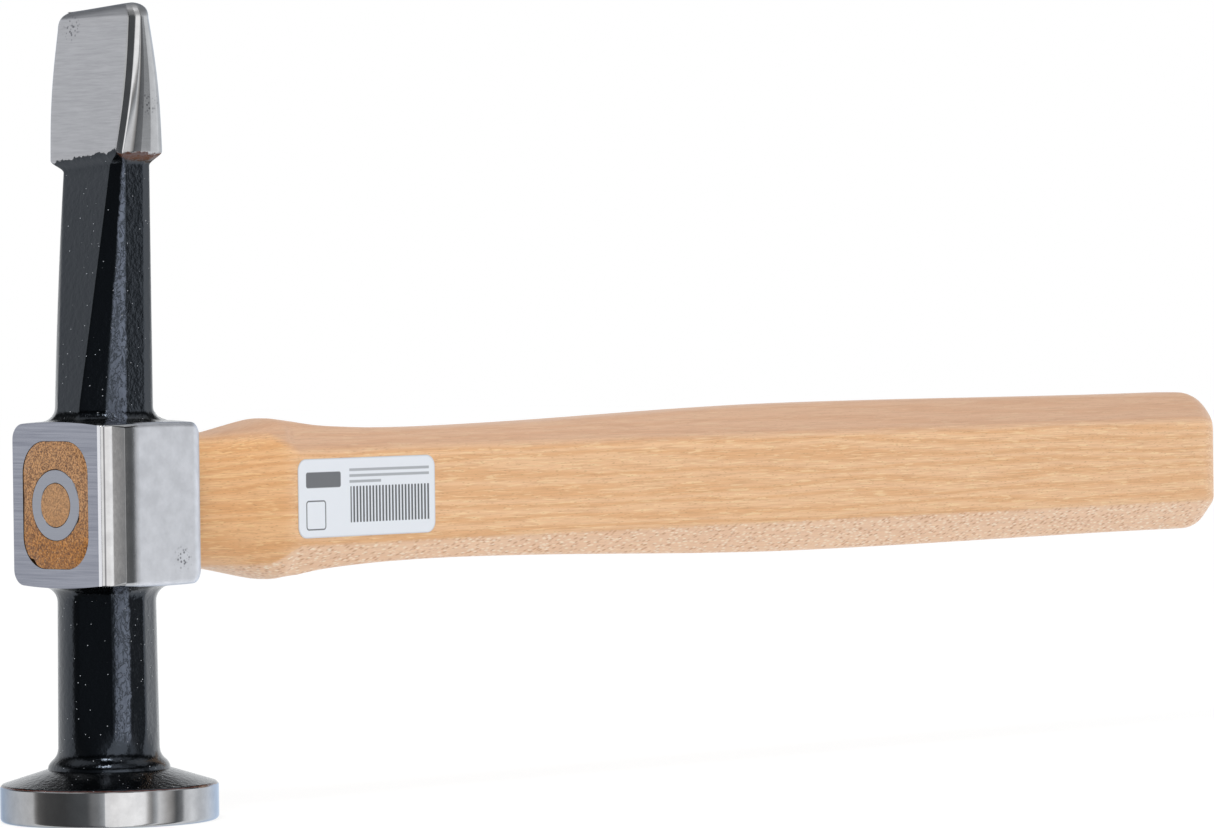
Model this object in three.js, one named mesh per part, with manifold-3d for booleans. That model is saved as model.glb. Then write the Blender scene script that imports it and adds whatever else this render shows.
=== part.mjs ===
// Auto body hammer: a forged head with a round striking disc and a cross pein, on a hickory
// handle that a steel ring wedge spreads in the eye. Millimetres, +Z up the head, +X along the
// handle. The origin is the centre of the striking face.
import * as THREE from 'three';
import * as BufferGeometryUtils from 'three/addons/utils/BufferGeometryUtils.js';
import Module from 'manifold-3d';

const wasm = await Module();
wasm.setup();

// Head as a whole, up to the middle of the pein's edge
const headHeight = 148.7;
const handleAxisHeight = 58;

// Clearance between pieces that touch, and how far a cut runs past what it cuts
const seatGap = 0.3;
const overrun = 2;

// Striking disc, its cone and the round neck
const faceDiameter = 40;
const faceEdgeRadius = 0.8;
const rimHeight = 6.9;
const rimTopBreak = 0.5;
const coneTopDiameter = 22.4;
const coneHeight = 2.6;
const collarSideHeight = 0.9;
const collarHeight = 2.55;
const collarEaseHeight = 1.5;
const neckFootDiameter = 18.56;
const neckDiameter = 18;
const neckFilletRadius = 2.7;

// Eye block
const blockFrontReach = 12.1;
const blockRearReach = 11.8;
const blockWidth = 29.6;
const blockHeight = 30.8;
const blockFrontCornerLength = 8.1;
const blockFrontCornerDepth = 6.2;
const blockFrontUncutReach = 1.08;
const blockRearCornerRadius = 3.5;
const blockRearTopRadius = 3;
const blockEdgeRadius = 2.6;
const blockCrown = 0.6;

// Eye, wider at both mouths than at its waist
const eyeMouthWidth = 18;
const eyeMouthHeight = 23.3;
const eyeWaistInset = 0.5;
const eyeCornerRadius = 6;

// Upper shank: round where it leaves the block, flattened towards the pein
const shankFoot = { back: 8.9, front: 8.9, halfWidth: 9, cutX: 5.8, cutY: 6.1 };
const shankHead = { back: 3.2, front: 5.4, halfWidth: 7.6, cutX: 1.8, cutY: 0.9 };
const shankFilletRadius = 2.5;
const shankFootRoundShare = 0.28;
const shankHeadRoundShare = 0.8;

// Cross pein, its edge square to the handle and ground at a slight slant: from the far corner
// to the near one it rises by `peinSlant`, which eases in over a run that ends at the ledge.
const peinRoot = { back: 3.8, front: 6.4, halfWidth: 10.15, cutX: 1.2, cutY: 1.2 };
const peinTip = { back: 0.9, front: 2.9, halfWidth: 10.85, cutX: 1.1, cutY: 1 };
const peinLength = 27.2;
const peinLedgeHeight = 2.4;
const peinBarrel = 0.7;
const peinSlant = 1.45;
const peinSlantRun = 8;
const peinNoseRadius = 1.75;
const peinCornerRadius = 3.1;

// Hickory handle
const handleReach = 317;
const shaftDrop = 0.35;
const shaftRise = 0.5;
const gripHeight = 30.2;
const gripThickness = 20.6;
const sideFlatHeight = 17.6;
const leastChamferHeight = 2;
const chamferDepthShare = 0.85;
const swellingPowerShare = 3;
const runoutStartShare = 0.1125;
const runoutEndShare = 0.122;
const topRunoutLag = 5;
const creaseCut = 1.3;
const buttRoundLength = 8;
const buttRoundInset = 5;

// Ring wedge
const ringOuterDiameter = 13;
const ringBoreDiameter = 8;
const ringLength = 12;
const ringTailWall = 1;

// Label
const labelSetBack = 0.1;
const labelLength = 36.4;
const labelHeight = 14.8;
const labelCornerRadius = 2.2;
const labelThickness = 0.25;

// Places along the shaft as shares of the handle's reach, with the full height there as a share
// of the grip's height: shoulder, swelling, waist, and the long rise to the grip.
const shaftHeightShares = [
  [0.06, 0.805],
  [0.075, 0.828],
  [0.086, 0.864],
  [0.1, 0.92],
  [0.114, 0.976],
  [0.122, 0.998],
  [0.13, 0.981],
  [0.141, 0.941],
  [0.156, 0.9],
  [0.175, 0.872],
  [0.21, 0.843],
  [0.263, 0.834],
  [0.345, 0.866],
  [0.418, 0.913],
  [0.491, 0.961],
  [0.57, 0.994],
  [0.68, 1],
  [0.8, 0.99],
  [0.9, 0.983],
  [1, 0.99],
];
const shoulderHeightShare = 0.795;

// The same for the full thickness, as a share of the grip's thickness.
const shaftThicknessShares = [
  [0.076, 0.955],
  [0.1, 0.995],
  [0.116, 1],
  [0.125, 0.965],
  [0.14, 0.955],
  [0.19, 0.915],
  [0.253, 0.9],
  [0.348, 0.925],
  [0.475, 0.98],
  [0.6, 1],
  [1, 1],
];
const shoulderThicknessShare = 0.92;

const mix = THREE.MathUtils.lerp;
const clampToOne = (value) => THREE.MathUtils.clamp(value, 0, 1);
const ease = (share) => THREE.MathUtils.smoothstep(share, 0, 1);

// How far a quarter ellipse of this depth has turned in, `along` of its `length` from its start.
function roundInset(along, length, depth) {
  const share = clampToOne(along / length);
  return depth * (1 - Math.sqrt(1 - share * share));
}

// A closed body through rings of equal counts, each running counterclockwise as seen from the
// end that the rings climb towards, with a flat lid on both ends.
function loft(rings) {
  const count = rings[0].length;
  const last = (rings.length - 1) * count;
  const centreOf = (ring) => ring
    .reduce((sum, point) => sum.add(point), new THREE.Vector3())
    .divideScalar(count);
  const points = [...rings.flat(), centreOf(rings[0]), centreOf(rings[rings.length - 1])];
  const startCentre = points.length - 2;
  const endCentre = points.length - 1;
  const index = [];
  for (let side = 0; side < count; side += 1) {
    const next = (side + 1) % count;
    for (let row = 0; row < last; row += count) {
      index.push(row + side, row + next, row + next + count);
      index.push(row + side, row + next + count, row + side + count);
    }
    index.push(startCentre, next, side);
    index.push(endCentre, last + side, last + next);
  }
  const geometry = new THREE.BufferGeometry().setFromPoints(points);
  geometry.setIndex(index);
  return geometry;
}

// A ring across X or across Z from an outline in the plane.
const ringAcrossX = (x, z, outline) => outline
  .map((point) => new THREE.Vector3(x, point.x, z + point.y));
const ringAcrossZ = (z, outline) => outline
  .map((point) => new THREE.Vector3(point.x, point.y, z));

// A polygon whose corners are rounded off by a curve that starts `cut` before each corner and
// never takes more than nearly half of a side.
const longestCutShare = 0.46;
function softenedOutline(corners, cut, steps) {
  const outline = [];
  corners.forEach((corner, place) => {
    const before = corners[(place + corners.length - 1) % corners.length];
    const after = corners[(place + 1) % corners.length];
    const stepBack = Math.min(cut, longestCutShare * corner.distanceTo(before));
    const stepOn = Math.min(cut, longestCutShare * corner.distanceTo(after));
    const start = corner.clone().lerp(before, stepBack / corner.distanceTo(before));
    const end = corner.clone().lerp(after, stepOn / corner.distanceTo(after));
    outline.push(...new THREE.QuadraticBezierCurve(start, corner, end).getPoints(steps));
  });
  return outline;
}

// A rectangle with round corners, whose top and bottom edges bow out by `crown` at the middle.
const cornerSteps = 6;
const crownSteps = 4;
function crownedRectangle(halfWidth, halfHeight, radius, crown) {
  const corner = Math.min(radius, halfWidth, halfHeight);
  const flatHalf = halfWidth - corner;
  const quarter = [];
  for (let step = 0; step <= cornerSteps; step += 1) {
    const turn = (step / cornerSteps) * (Math.PI / 2);
    const y = flatHalf + corner * Math.cos(turn);
    quarter.push([y, halfHeight - corner + corner * Math.sin(turn)]);
  }
  for (let step = 1; step < crownSteps; step += 1) {
    quarter.push([flatHalf * (1 - step / crownSteps), halfHeight]);
  }
  const bowed = quarter.map(([y, z]) => {
    const across = y / halfWidth;
    return new THREE.Vector2(y, z + crown * (1 - across * across) * (z / halfHeight));
  });
  const top = new THREE.Vector2(0, halfHeight + crown);
  const turned = (point, sx, sy) => new THREE.Vector2(point.x * sx, point.y * sy);
  return [
    ...bowed,
    top,
    ...bowed.map((point) => turned(point, -1, 1)).reverse(),
    ...bowed.map((point) => turned(point, -1, -1)),
    turned(top, 1, -1),
    ...bowed.map((point) => turned(point, 1, -1)).reverse(),
  ];
}

function solidOf(geometry) {
  const bare = geometry.clone();
  bare.deleteAttribute('normal');
  bare.deleteAttribute('uv');
  const merged = BufferGeometryUtils.mergeVertices(bare);
  return new wasm.Manifold(new wasm.Mesh({
    numProp: 3,
    vertProperties: merged.attributes.position.array,
    triVerts: new Uint32Array(merged.index.array),
  }));
}

function geometryOf(solid) {
  const mesh = solid.getMesh();
  const geometry = new THREE.BufferGeometry();
  geometry.setAttribute('position', new THREE.BufferAttribute(mesh.vertProperties, 3));
  geometry.setIndex(new THREE.BufferAttribute(mesh.triVerts, 1));
  const flat = geometry.toNonIndexed();
  flat.computeVertexNormals();
  return flat;
}

// Striking disc, cone and neck: one revolved profile, ending inside the eye block.
const blockBottom = handleAxisHeight - blockHeight / 2;
const blockTop = handleAxisHeight + blockHeight / 2;
const roundSteps = 6;
const discSides = 60;

function discAndNeck() {
  const faceRadius = faceDiameter / 2;
  const neckRadius = neckDiameter / 2;
  const coneTopRadius = coneTopDiameter / 2;
  const coneTop = rimHeight + coneHeight;
  const profile = [new THREE.Vector2(0, 0)];
  for (let step = 0; step <= roundSteps; step += 1) {
    const turn = (step / roundSteps) * (Math.PI / 2);
    const r = faceRadius - faceEdgeRadius + faceEdgeRadius * Math.sin(turn);
    profile.push(new THREE.Vector2(r, faceEdgeRadius * (1 - Math.cos(turn))));
  }
  profile.push(new THREE.Vector2(faceRadius, rimHeight - rimTopBreak));
  profile.push(new THREE.Vector2(faceRadius - rimTopBreak, rimHeight));
  const coneEnd = new THREE.Vector2(coneTopRadius, coneTop);
  const foot = new THREE.Vector2(coneTopRadius, coneTop + collarSideHeight);
  const crease = new THREE.Vector2(neckFootDiameter / 2, coneTop + collarHeight);
  const middle = foot.clone().lerp(crease, 1 / 2);
  const collarEnd = crease.clone().setY(crease.y + collarEaseHeight);
  profile.push(...new THREE.QuadraticBezierCurve(coneEnd, foot, middle).getPoints(roundSteps));
  const flare = new THREE.QuadraticBezierCurve(middle, crease, collarEnd);
  profile.push(...flare.getPoints(roundSteps).slice(1));
  for (let step = 0; step <= roundSteps; step += 1) {
    const along = (step / roundSteps) * neckFilletRadius;
    const r = neckRadius + roundInset(along, neckFilletRadius, neckFilletRadius);
    profile.push(new THREE.Vector2(r, blockBottom - neckFilletRadius + along));
  }
  profile.push(new THREE.Vector2(neckRadius, blockBottom + neckFilletRadius));
  profile.push(new THREE.Vector2(0, blockBottom + neckFilletRadius));
  const geometry = new THREE.LatheGeometry(profile, discSides);
  return solidOf(geometry.rotateX(Math.PI / 2));
}

// Eye block: sections across X. The front corners are wide rounds that the ground end face cuts
// off short of their end, and the rear corners and edges are small rounds.
const blockFrontCentre = blockFrontReach + blockFrontUncutReach - blockFrontCornerLength;

function blockHalfWidth(x) {
  const front = roundInset(-x - blockFrontCentre, blockFrontCornerLength, blockFrontCornerDepth);
  const rearStart = blockRearReach - blockRearCornerRadius;
  const rear = roundInset(x - rearStart, blockRearCornerRadius, blockRearCornerRadius);
  return blockWidth / 2 - front - rear;
}

function blockHalfHeight(x) {
  const rearStart = blockRearReach - blockRearTopRadius;
  const rear = roundInset(x - rearStart, blockRearTopRadius, blockRearTopRadius);
  const share = x / blockFrontReach;
  return blockHeight / 2 - blockCrown - (blockCrown / 2) * Math.min(share * share, 1) - rear;
}

function eyeBlock() {
  const frontArc = Array.from({ length: roundSteps }, (_, step) => (
    mix(-blockFrontReach, -blockFrontCentre, step / roundSteps)
  ));
  const rearStart = blockRearReach - blockRearCornerRadius;
  const rearArc = Array.from({ length: roundSteps + 1 }, (_, step) => (
    rearStart + blockRearCornerRadius * Math.sin((step / roundSteps) * (Math.PI / 2))
  ));
  const places = [...frontArc, -blockFrontCentre, 0, ...rearArc];
  return solidOf(loft(places.map((x) => ringAcrossX(
    x,
    handleAxisHeight,
    crownedRectangle(blockHalfWidth(x), blockHalfHeight(x), blockEdgeRadius, blockCrown),
  ))));
}

// The eye's outline at a place along X, pulled in by `gap` for the tenon that fills it.
function eyeOutline(x, gap) {
  const reach = x < 0 ? blockFrontReach : blockRearReach;
  const towardsMouth = clampToOne(Math.abs(x) / reach);
  const inset = eyeWaistInset * (1 - towardsMouth * towardsMouth) + gap;
  return crownedRectangle(
    eyeMouthWidth / 2 - inset,
    eyeMouthHeight / 2 - inset,
    eyeCornerRadius - inset,
    0,
  );
}

const eyeStations = 6;
function eyeFilling(start, end, gap) {
  const rings = [];
  for (let step = 0; step <= eyeStations; step += 1) {
    const x = mix(start, end, step / eyeStations);
    rings.push(ringAcrossX(x, handleAxisHeight, eyeOutline(x, gap)));
  }
  return solidOf(loft(rings));
}

// The shank's and the pein's section: flats across X and Y, joined by four bowed corners. The
// bow runs from a straight chamfer at `fullness` 0 to a full round at 1.
const bowSteps = 5;
function barSection(size, fullness) {
  const corner = (sx, sy) => {
    const reach = sx < 0 ? size.back : size.front;
    const point = new THREE.Vector2(sx * reach, sy * size.halfWidth);
    const onX = new THREE.Vector2(point.x, sy * (size.halfWidth - size.cutY));
    const onY = new THREE.Vector2(sx * (reach - size.cutX), point.y);
    const control = onX.clone().lerp(onY, 1 / 2).lerp(point, fullness);
    const bow = new THREE.QuadraticBezierCurve(onX, control, onY).getPoints(bowSteps);
    return sx * sy > 0 ? bow : bow.reverse();
  };
  return [...corner(1, 1), ...corner(-1, 1), ...corner(-1, -1), ...corner(1, -1)];
}

function mixSizes(from, to, share) {
  const names = Object.keys(from);
  return Object.fromEntries(names.map((name) => [name, mix(from[name], to[name], share)]));
}

function grown(size, by) {
  return { ...size, back: size.back + by, front: size.front + by, halfWidth: size.halfWidth + by };
}

const shankSteps = 10;
const peinSteps = 8;
function shankAndPein() {
  const peinStart = headHeight - peinLength;
  const ledgeStart = peinStart - peinLedgeHeight;
  const footEnd = blockTop + shankFilletRadius;
  const foot = barSection(shankFoot, shankFootRoundShare);
  const rings = [ringAcrossZ(blockTop - shankFilletRadius, foot)];
  for (let step = 0; step < roundSteps; step += 1) {
    const along = (1 - step / roundSteps) * shankFilletRadius;
    const size = grown(shankFoot, roundInset(along, shankFilletRadius, shankFilletRadius));
    rings.push(ringAcrossZ(footEnd - along, barSection(size, shankFootRoundShare)));
  }
  for (let step = 0; step <= shankSteps; step += 1) {
    const share = step / shankSteps;
    const size = mixSizes(shankFoot, shankHead, share);
    const section = barSection(size, mix(shankFootRoundShare, shankHeadRoundShare, share));
    rings.push(ringAcrossZ(mix(footEnd, ledgeStart, share), section));
  }
  for (let step = 1; step < roundSteps; step += 1) {
    const share = step / roundSteps;
    const size = mixSizes(shankHead, peinRoot, ease(share));
    const section = barSection(size, mix(shankHeadRoundShare, 1, share));
    rings.push(ringAcrossZ(mix(ledgeStart, peinStart, share), section));
  }
  const noseStart = headHeight - peinCornerRadius;
  for (let step = 0; step <= peinSteps; step += 1) {
    const share = step / peinSteps;
    const size = mixSizes(peinRoot, peinTip, share);
    size.halfWidth += peinBarrel * Math.sin(Math.PI * share);
    rings.push(ringAcrossZ(mix(peinStart, noseStart, share), barSection(size, 1)));
  }
  for (let step = 1; step <= roundSteps; step += 1) {
    const rise = peinCornerRadius * Math.sin((step / roundSteps) * (Math.PI / 2));
    const thin = roundInset(rise - peinCornerRadius + peinNoseRadius, peinNoseRadius, peinTip.cutX);
    const size = {
      ...peinTip,
      back: peinTip.back - thin,
      front: peinTip.front - thin,
      halfWidth: peinTip.halfWidth - roundInset(rise, peinCornerRadius, peinCornerRadius),
    };
    size.cutX = Math.min(size.cutX, longestCutShare * (size.back + size.front));
    rings.push(ringAcrossZ(noseStart + rise, barSection(size, 1)));
  }
  rings.flat().forEach((point) => {
    const share = clampToOne((point.z - ledgeStart + peinSlantRun) / peinSlantRun);
    point.setZ(point.z - (peinSlant * ease(share) * point.y) / (2 * peinTip.halfWidth));
  });
  return solidOf(loft(rings));
}

// Handle: the shaft's height and thickness follow smooth curves through their shares.
function curveThrough(first, shares, wholeSize) {
  const places = [blockRearReach + seatGap, ...shares.map(([place]) => place * handleReach)];
  const sizes = [first, ...shares.map(([, share]) => share)]
    .map((share) => (share * wholeSize) / 2);
  const curve = new THREE.CubicInterpolant(places, sizes, 1);
  return { places, at: (x) => curve.evaluate(x)[0] };
}
const shaftAxisHeight = (x) => handleAxisHeight - shaftDrop
  + (shaftRise * (x - blockRearReach)) / (handleReach - blockRearReach);
const shaftHeight = curveThrough(shoulderHeightShare, shaftHeightShares, gripHeight);
const shaftThickness = curveThrough(shoulderThicknessShare, shaftThicknessShares, gripThickness);

// The shaft's section: side flats of constant height with a chamfer above and below them. On the
// swelling the chamfers run out, later on the top and the bottom than on the sides, and each point
// moves along its own ray onto a rounded oval, a superellipse.
const runoutStart = runoutStartShare * handleReach;
const runoutEnd = runoutEndShare * handleReach;
const creaseSteps = 3;
function shaftSection(x) {
  const inset = roundInset(x - handleReach + buttRoundLength, buttRoundLength, buttRoundInset);
  const halfHeight = shaftHeight.at(x) - inset;
  const halfThickness = shaftThickness.at(x) - inset;
  const sideHalf = Math.min(sideFlatHeight / 2, halfHeight - leastChamferHeight);
  const topHalf = halfThickness - chamferDepthShare * (halfHeight - sideHalf);
  const corners = [
    [halfThickness, -sideHalf],
    [halfThickness, sideHalf],
    [topHalf, halfHeight],
    [-topHalf, halfHeight],
    [-halfThickness, sideHalf],
    [-halfThickness, -sideHalf],
    [-topHalf, -halfHeight],
    [topHalf, -halfHeight],
  ].map(([y, z]) => new THREE.Vector2(y, z));
  return softenedOutline(corners, creaseCut, creaseSteps).map((point) => {
    const lag = topRunoutLag * Math.abs(point.y / halfHeight) ** 4;
    const oval = 1 - clampToOne((x - lag - runoutStart) / (runoutEnd - runoutStart));
    const across = Math.abs(point.x / halfThickness) ** swellingPowerShare;
    const up = Math.abs(point.y / halfHeight) ** swellingPowerShare;
    const reach = (across + up) ** (-1 / swellingPowerShare);
    return point.multiplyScalar(mix(1, reach, oval));
  });
}

const stepsPerStretch = 3;
function shaft() {
  const places = [];
  const stops = [...shaftHeight.places.slice(0, -1), handleReach - buttRoundLength];
  for (let stretch = 0; stretch + 1 < stops.length; stretch += 1) {
    for (let step = 0; step < stepsPerStretch; step += 1) {
      places.push(mix(stops[stretch], stops[stretch + 1], step / stepsPerStretch));
    }
  }
  for (let step = 0; step <= roundSteps; step += 1) {
    const turn = (step / roundSteps) * (Math.PI / 2);
    places.push(handleReach - buttRoundLength * (1 - Math.sin(turn)));
  }
  return solidOf(loft(places.map((x) => ringAcrossX(x, shaftAxisHeight(x), shaftSection(x)))));
}

// Ring wedge: a short tube that thins towards its tail, revolved on the handle's axis. `gap`
// widens it into the groove that it has pressed into the wood.
const ringSides = 48;
function ringProfile(gap, lead) {
  const bore = ringBoreDiameter / 2 - gap;
  const tail = ringBoreDiameter / 2 + ringTailWall + gap;
  const taper = (ringOuterDiameter / 2 + gap - tail) / ringLength;
  return [
    new THREE.Vector2(bore, -lead),
    new THREE.Vector2(tail + taper * (ringLength + lead), -lead),
    new THREE.Vector2(tail, ringLength + gap),
    new THREE.Vector2(bore, ringLength + gap),
    new THREE.Vector2(bore, -lead),
  ];
}

const ringGeometry = new THREE.LatheGeometry(ringProfile(0, 0), ringSides).rotateZ(-Math.PI / 2);
const grooveGeometry = new THREE.LatheGeometry(ringProfile(seatGap, overrun), ringSides)
  .rotateZ(-Math.PI / 2)
  .translate(-blockFrontReach, 0, handleAxisHeight);

// Label: a thin sheet on one side flat, just behind the swelling, that follows the shaft's side.
const labelStart = runoutEnd + labelSetBack;
const labelSteps = 6;
function labelSheet() {
  const halfHeight = labelHeight / 2;
  const places = [];
  for (let step = 0; step < labelSteps; step += 1) {
    places.push(labelCornerRadius * (1 - Math.cos((step / labelSteps) * (Math.PI / 2))));
  }
  const ends = places.map((place) => labelLength - place).reverse();
  const middle = [];
  for (let step = 0; step <= labelSteps; step += 1) {
    middle.push(mix(labelCornerRadius, labelLength - labelCornerRadius, step / labelSteps));
  }
  return loft([...places, ...middle, ...ends].map((place) => {
    const x = labelStart + place;
    const fromEnd = Math.min(place, labelLength - place);
    const inset = roundInset(labelCornerRadius - fromEnd, labelCornerRadius, labelCornerRadius);
    const inner = -shaftThickness.at(x) - seatGap;
    const outer = inner - labelThickness;
    const half = halfHeight - inset;
    const height = shaftAxisHeight(x);
    return [
      new THREE.Vector3(x, inner, height + half),
      new THREE.Vector3(x, outer, height + half),
      new THREE.Vector3(x, outer, height - half),
      new THREE.Vector3(x, inner, height - half),
    ];
  }));
}

const finish = (color, roughness, metalness) => (
  new THREE.MeshStandardMaterial({ color, roughness, metalness })
);
const forgedSteel = finish(0x2a2c31, 0.35, 0.6);
const hickory = finish(0xd9a066, 0.55, 0);
const wedgeSteel = finish(0x9a9da3, 0.4, 0.9);
const labelPaper = finish(0xeceff2, 0.5, 0);

const hammer = new THREE.Group();

function addPiece(name, geometry, material) {
  const piece = new THREE.Mesh(geometry, material);
  piece.name = name;
  hammer.add(piece);
  return piece;
}

const head = discAndNeck()
  .add(eyeBlock())
  .add(shankAndPein())
  .subtract(eyeFilling(-blockFrontReach - overrun, blockRearReach + overrun, 0));
addPiece('hammer_head', geometryOf(head), forgedSteel);

const handle = shaft()
  .add(eyeFilling(-blockFrontReach, blockRearReach + overrun, seatGap))
  .subtract(solidOf(grooveGeometry));
addPiece('handle', geometryOf(handle), hickory);

const ringWedge = addPiece('ring_wedge', ringGeometry, wedgeSteel);
ringWedge.position.set(-blockFrontReach, 0, handleAxisHeight);
addPiece('label', labelSheet(), labelPaper);

export default hammer;
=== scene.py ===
import bpy
import numpy as np
from mathutils import Matrix


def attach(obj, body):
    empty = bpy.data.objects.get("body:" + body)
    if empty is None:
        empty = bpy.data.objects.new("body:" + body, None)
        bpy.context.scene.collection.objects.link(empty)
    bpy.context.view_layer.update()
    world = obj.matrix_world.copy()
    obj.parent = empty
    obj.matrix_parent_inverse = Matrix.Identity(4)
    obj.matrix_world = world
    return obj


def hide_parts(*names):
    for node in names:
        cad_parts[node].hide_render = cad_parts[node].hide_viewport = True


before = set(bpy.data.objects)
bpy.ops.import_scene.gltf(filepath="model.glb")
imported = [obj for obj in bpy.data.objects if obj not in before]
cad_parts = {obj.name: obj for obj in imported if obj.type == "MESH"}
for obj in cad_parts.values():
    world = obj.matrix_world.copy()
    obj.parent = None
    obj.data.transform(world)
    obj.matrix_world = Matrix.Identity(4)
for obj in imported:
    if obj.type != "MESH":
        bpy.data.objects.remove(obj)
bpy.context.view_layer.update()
MM = 0.001

# Camera
# A long lens a little over a metre away, level with the eye of the head, that looks across the
# end face and the near cheek and down the handle. Its place is measured from the striking face.
PHOTO_WIDTH_PX = 1214
FOCAL_LENGTH_PX = 6056.3
SENSOR_WIDTH = 36.0
CAMERA_PLACE = np.array([-733.62, -834.86, 89.52])
CAMERA_AZIMUTH, CAMERA_ELEVATION, CAMERA_ROLL = np.radians([-46.052, 0.847, -0.743])


def camera_axes(azimuth, elevation, roll):
    """A camera's or a lamp's right, up and back directions: back points to it from the object, at
    the azimuth from -Y and the elevation above the floor, and the roll turns right towards up."""
    level = np.cos(elevation)
    back = np.array([np.sin(azimuth) * level, -np.cos(azimuth) * level, np.sin(elevation)])
    right = np.array([np.cos(azimuth), np.sin(azimuth), 0.0])
    up = np.cross(back, right)
    turn = np.array([[np.cos(roll), np.sin(roll)], [-np.sin(roll), np.cos(roll)]])
    return np.vstack([turn @ np.vstack([right, up]), back])


def stand(thing, axes, place):
    """Puts a camera or a lamp into the scene at a place in millimetres, turned to these axes."""
    bpy.context.scene.collection.objects.link(thing)
    pose = np.eye(4)
    pose[:3, :3] = axes.T
    pose[:3, 3] = place * MM
    thing.matrix_world = Matrix(pose.tolist())


camera = bpy.data.objects.new("camera", bpy.data.cameras.new("camera"))
camera.data.sensor_width = SENSOR_WIDTH
camera.data.lens = SENSOR_WIDTH * FOCAL_LENGTH_PX / PHOTO_WIDTH_PX
camera.data.clip_start = 0.05
stand(camera, camera_axes(CAMERA_AZIMUTH, CAMERA_ELEVATION, CAMERA_ROLL), CAMERA_PLACE)
bpy.context.scene.camera = camera

# Hammer head
# One steel forging: striking disc, cone, round neck, eye block, upper shank and cross pein.
# It is dipped in gloss black lacquer, then the rim, the eye block's end face and cheeks and the
# pein are ground bright. The whole skin is one stack of closed rings that climbs along Z.
HEAD_HEIGHT = 148.7
AXIS_HEIGHT = 58.0
FACE_RADIUS = 20.0
FACE_EDGE = 0.8
RIM_HEIGHT = 6.9
RIM_BREAK = 0.5
CONE_TOP_RADIUS = 11.2
CONE_HEIGHT = 2.6
COLLAR_SIDE = 0.9
COLLAR_HEIGHT = 2.55
COLLAR_EASE = 1.5
NECK_FOOT_RADIUS = 9.28
NECK_RADIUS = 9.0
NECK_FILLET = 2.7

BLOCK_FRONT = 12.1
BLOCK_REAR = 11.8
BLOCK_WIDTH = 29.6
BLOCK_HEIGHT = 30.8
BLOCK_CROWN = 0.6
# The far front corner is an ellipse that would reach FRONT_UNCUT past the end face.
FRONT_CORNER = 8.1
FRONT_CORNER_DEPTH = 6.2
FRONT_UNCUT = 1.08
FRONT_CENTRE = BLOCK_FRONT + FRONT_UNCUT - FRONT_CORNER
REAR_CORNER = 3.5
TOP_EDGE = 2.6
NEAR_TOP_EDGE = 1.0
CORNER_TOP_EDGE = 0.3
NEAR_BLEND = 8.0
CORNER_BLEND = 3.0
REAR_EDGE_HEIGHT = 3.0
REAR_EDGE_DEPTH = 1.8

EYE_WIDTH = 18.0
EYE_HEIGHT = 23.3
EYE_WAIST = 0.5
EYE_CORNER = 6.0

SHANK_FILLET = 2.5
SHANK_START = AXIS_HEIGHT + BLOCK_HEIGHT / 2 + SHANK_FILLET
PEIN_LENGTH = 27.2
PEIN_START = HEAD_HEIGHT - PEIN_LENGTH
PEIN_LEDGE = 2.4
PEIN_BARREL = 0.7
PEIN_SLANT = 1.45
PEIN_SLANT_RUN = 8.0
PEIN_NOSE = 1.75
PEIN_CORNER = 3.1
# A cut takes up at most this share of the side that it is cut from.
LONGEST_CUT_SHARE = 0.46

# How many points or rings each stretch gets.
FLAT_STEPS = 26
CORNER_STEPS = 28
ARC_STEPS = 10
NECK_STEPS = 16
WALL_STEPS = 10
TOP_STEPS = 5
SHANK_STEPS = 40
LEDGE_STEPS = 12
PEIN_STEPS = 24
QUARTER = np.linspace(0.0, np.pi / 2, ARC_STEPS)
MIRROR_Y = np.array([1.0, -1.0])


def eased(share):
    """0 to 1 with a level start and end: three times the square less twice the cube."""
    return share ** 2 * (3 - 2 * share)


def round_inset(along, length, depth):
    """How far a quarter ellipse has turned in, `along` of its `length` from where it starts."""
    share = np.clip(along / length, 0.0, 1.0)
    return depth * (1.0 - np.sqrt(1.0 - share * share))


def bow_between(start, corner, end, fullness, steps):
    """A parabola from start to end that is pulled towards the corner: straight at fullness 0,
    tangent to both sides of the corner at fullness 1."""
    pull = ((start + end) / 2.0) * (1.0 - fullness) + corner * fullness
    t = np.linspace(0.0, 1.0, steps)[:, None]
    return start * (1 - t) ** 2 + pull * 2 * t * (1 - t) + end * t ** 2


def rounded_path(points, bows):
    """A path along straight legs between points, rounded at each inner one by a bow that takes up
    these lengths of the leg before it and of the leg after it. It starts and ends at the first
    and the last point."""
    points = np.array(points)
    legs = np.diff(points, axis=0)
    legs /= np.linalg.norm(legs, axis=1)[:, None]
    steps = np.diff(np.linspace(0, CORNER_STEPS - 2, len(bows) + 1).astype(int))
    stretches = []
    for place, (before, after) in enumerate(bows):
        corner = points[place + 1]
        start, end = corner - legs[place] * before, corner + legs[place + 1] * after
        stretches.append(bow_between(start, corner, end, 1.0, steps[place]))
    return np.concatenate([points[:1], *stretches, points[-1:]])


def pein_corners(bevel, reach, depth, rear_reach):
    """The pein's two ground corners: the front one has a bevel this long along X and this deep
    along Y, and both run out onto -Y over their reach."""
    edge = min(0.7, 0.5 * bevel)
    run_out = reach - bevel
    bow = min(0.45 * run_out, 0.6)
    front = [(0.0, 0.0), (0.0, 0.05), (edge, 1.1), (bevel, depth), (reach, depth + 0.045 * run_out)]
    rear = [(0.0, 0.0), (0.0, 0.35), (0.4 * rear_reach, 0.62), (rear_reach, 0.7)]
    return {
        "near_front": rounded_path(front, [(0.05, 0.2), (0.2, 0.25), (bow, bow)]),
        "near_rear": rounded_path(rear, [(0.3, 0.3), (0.3, 0.3)]),
    }


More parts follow.
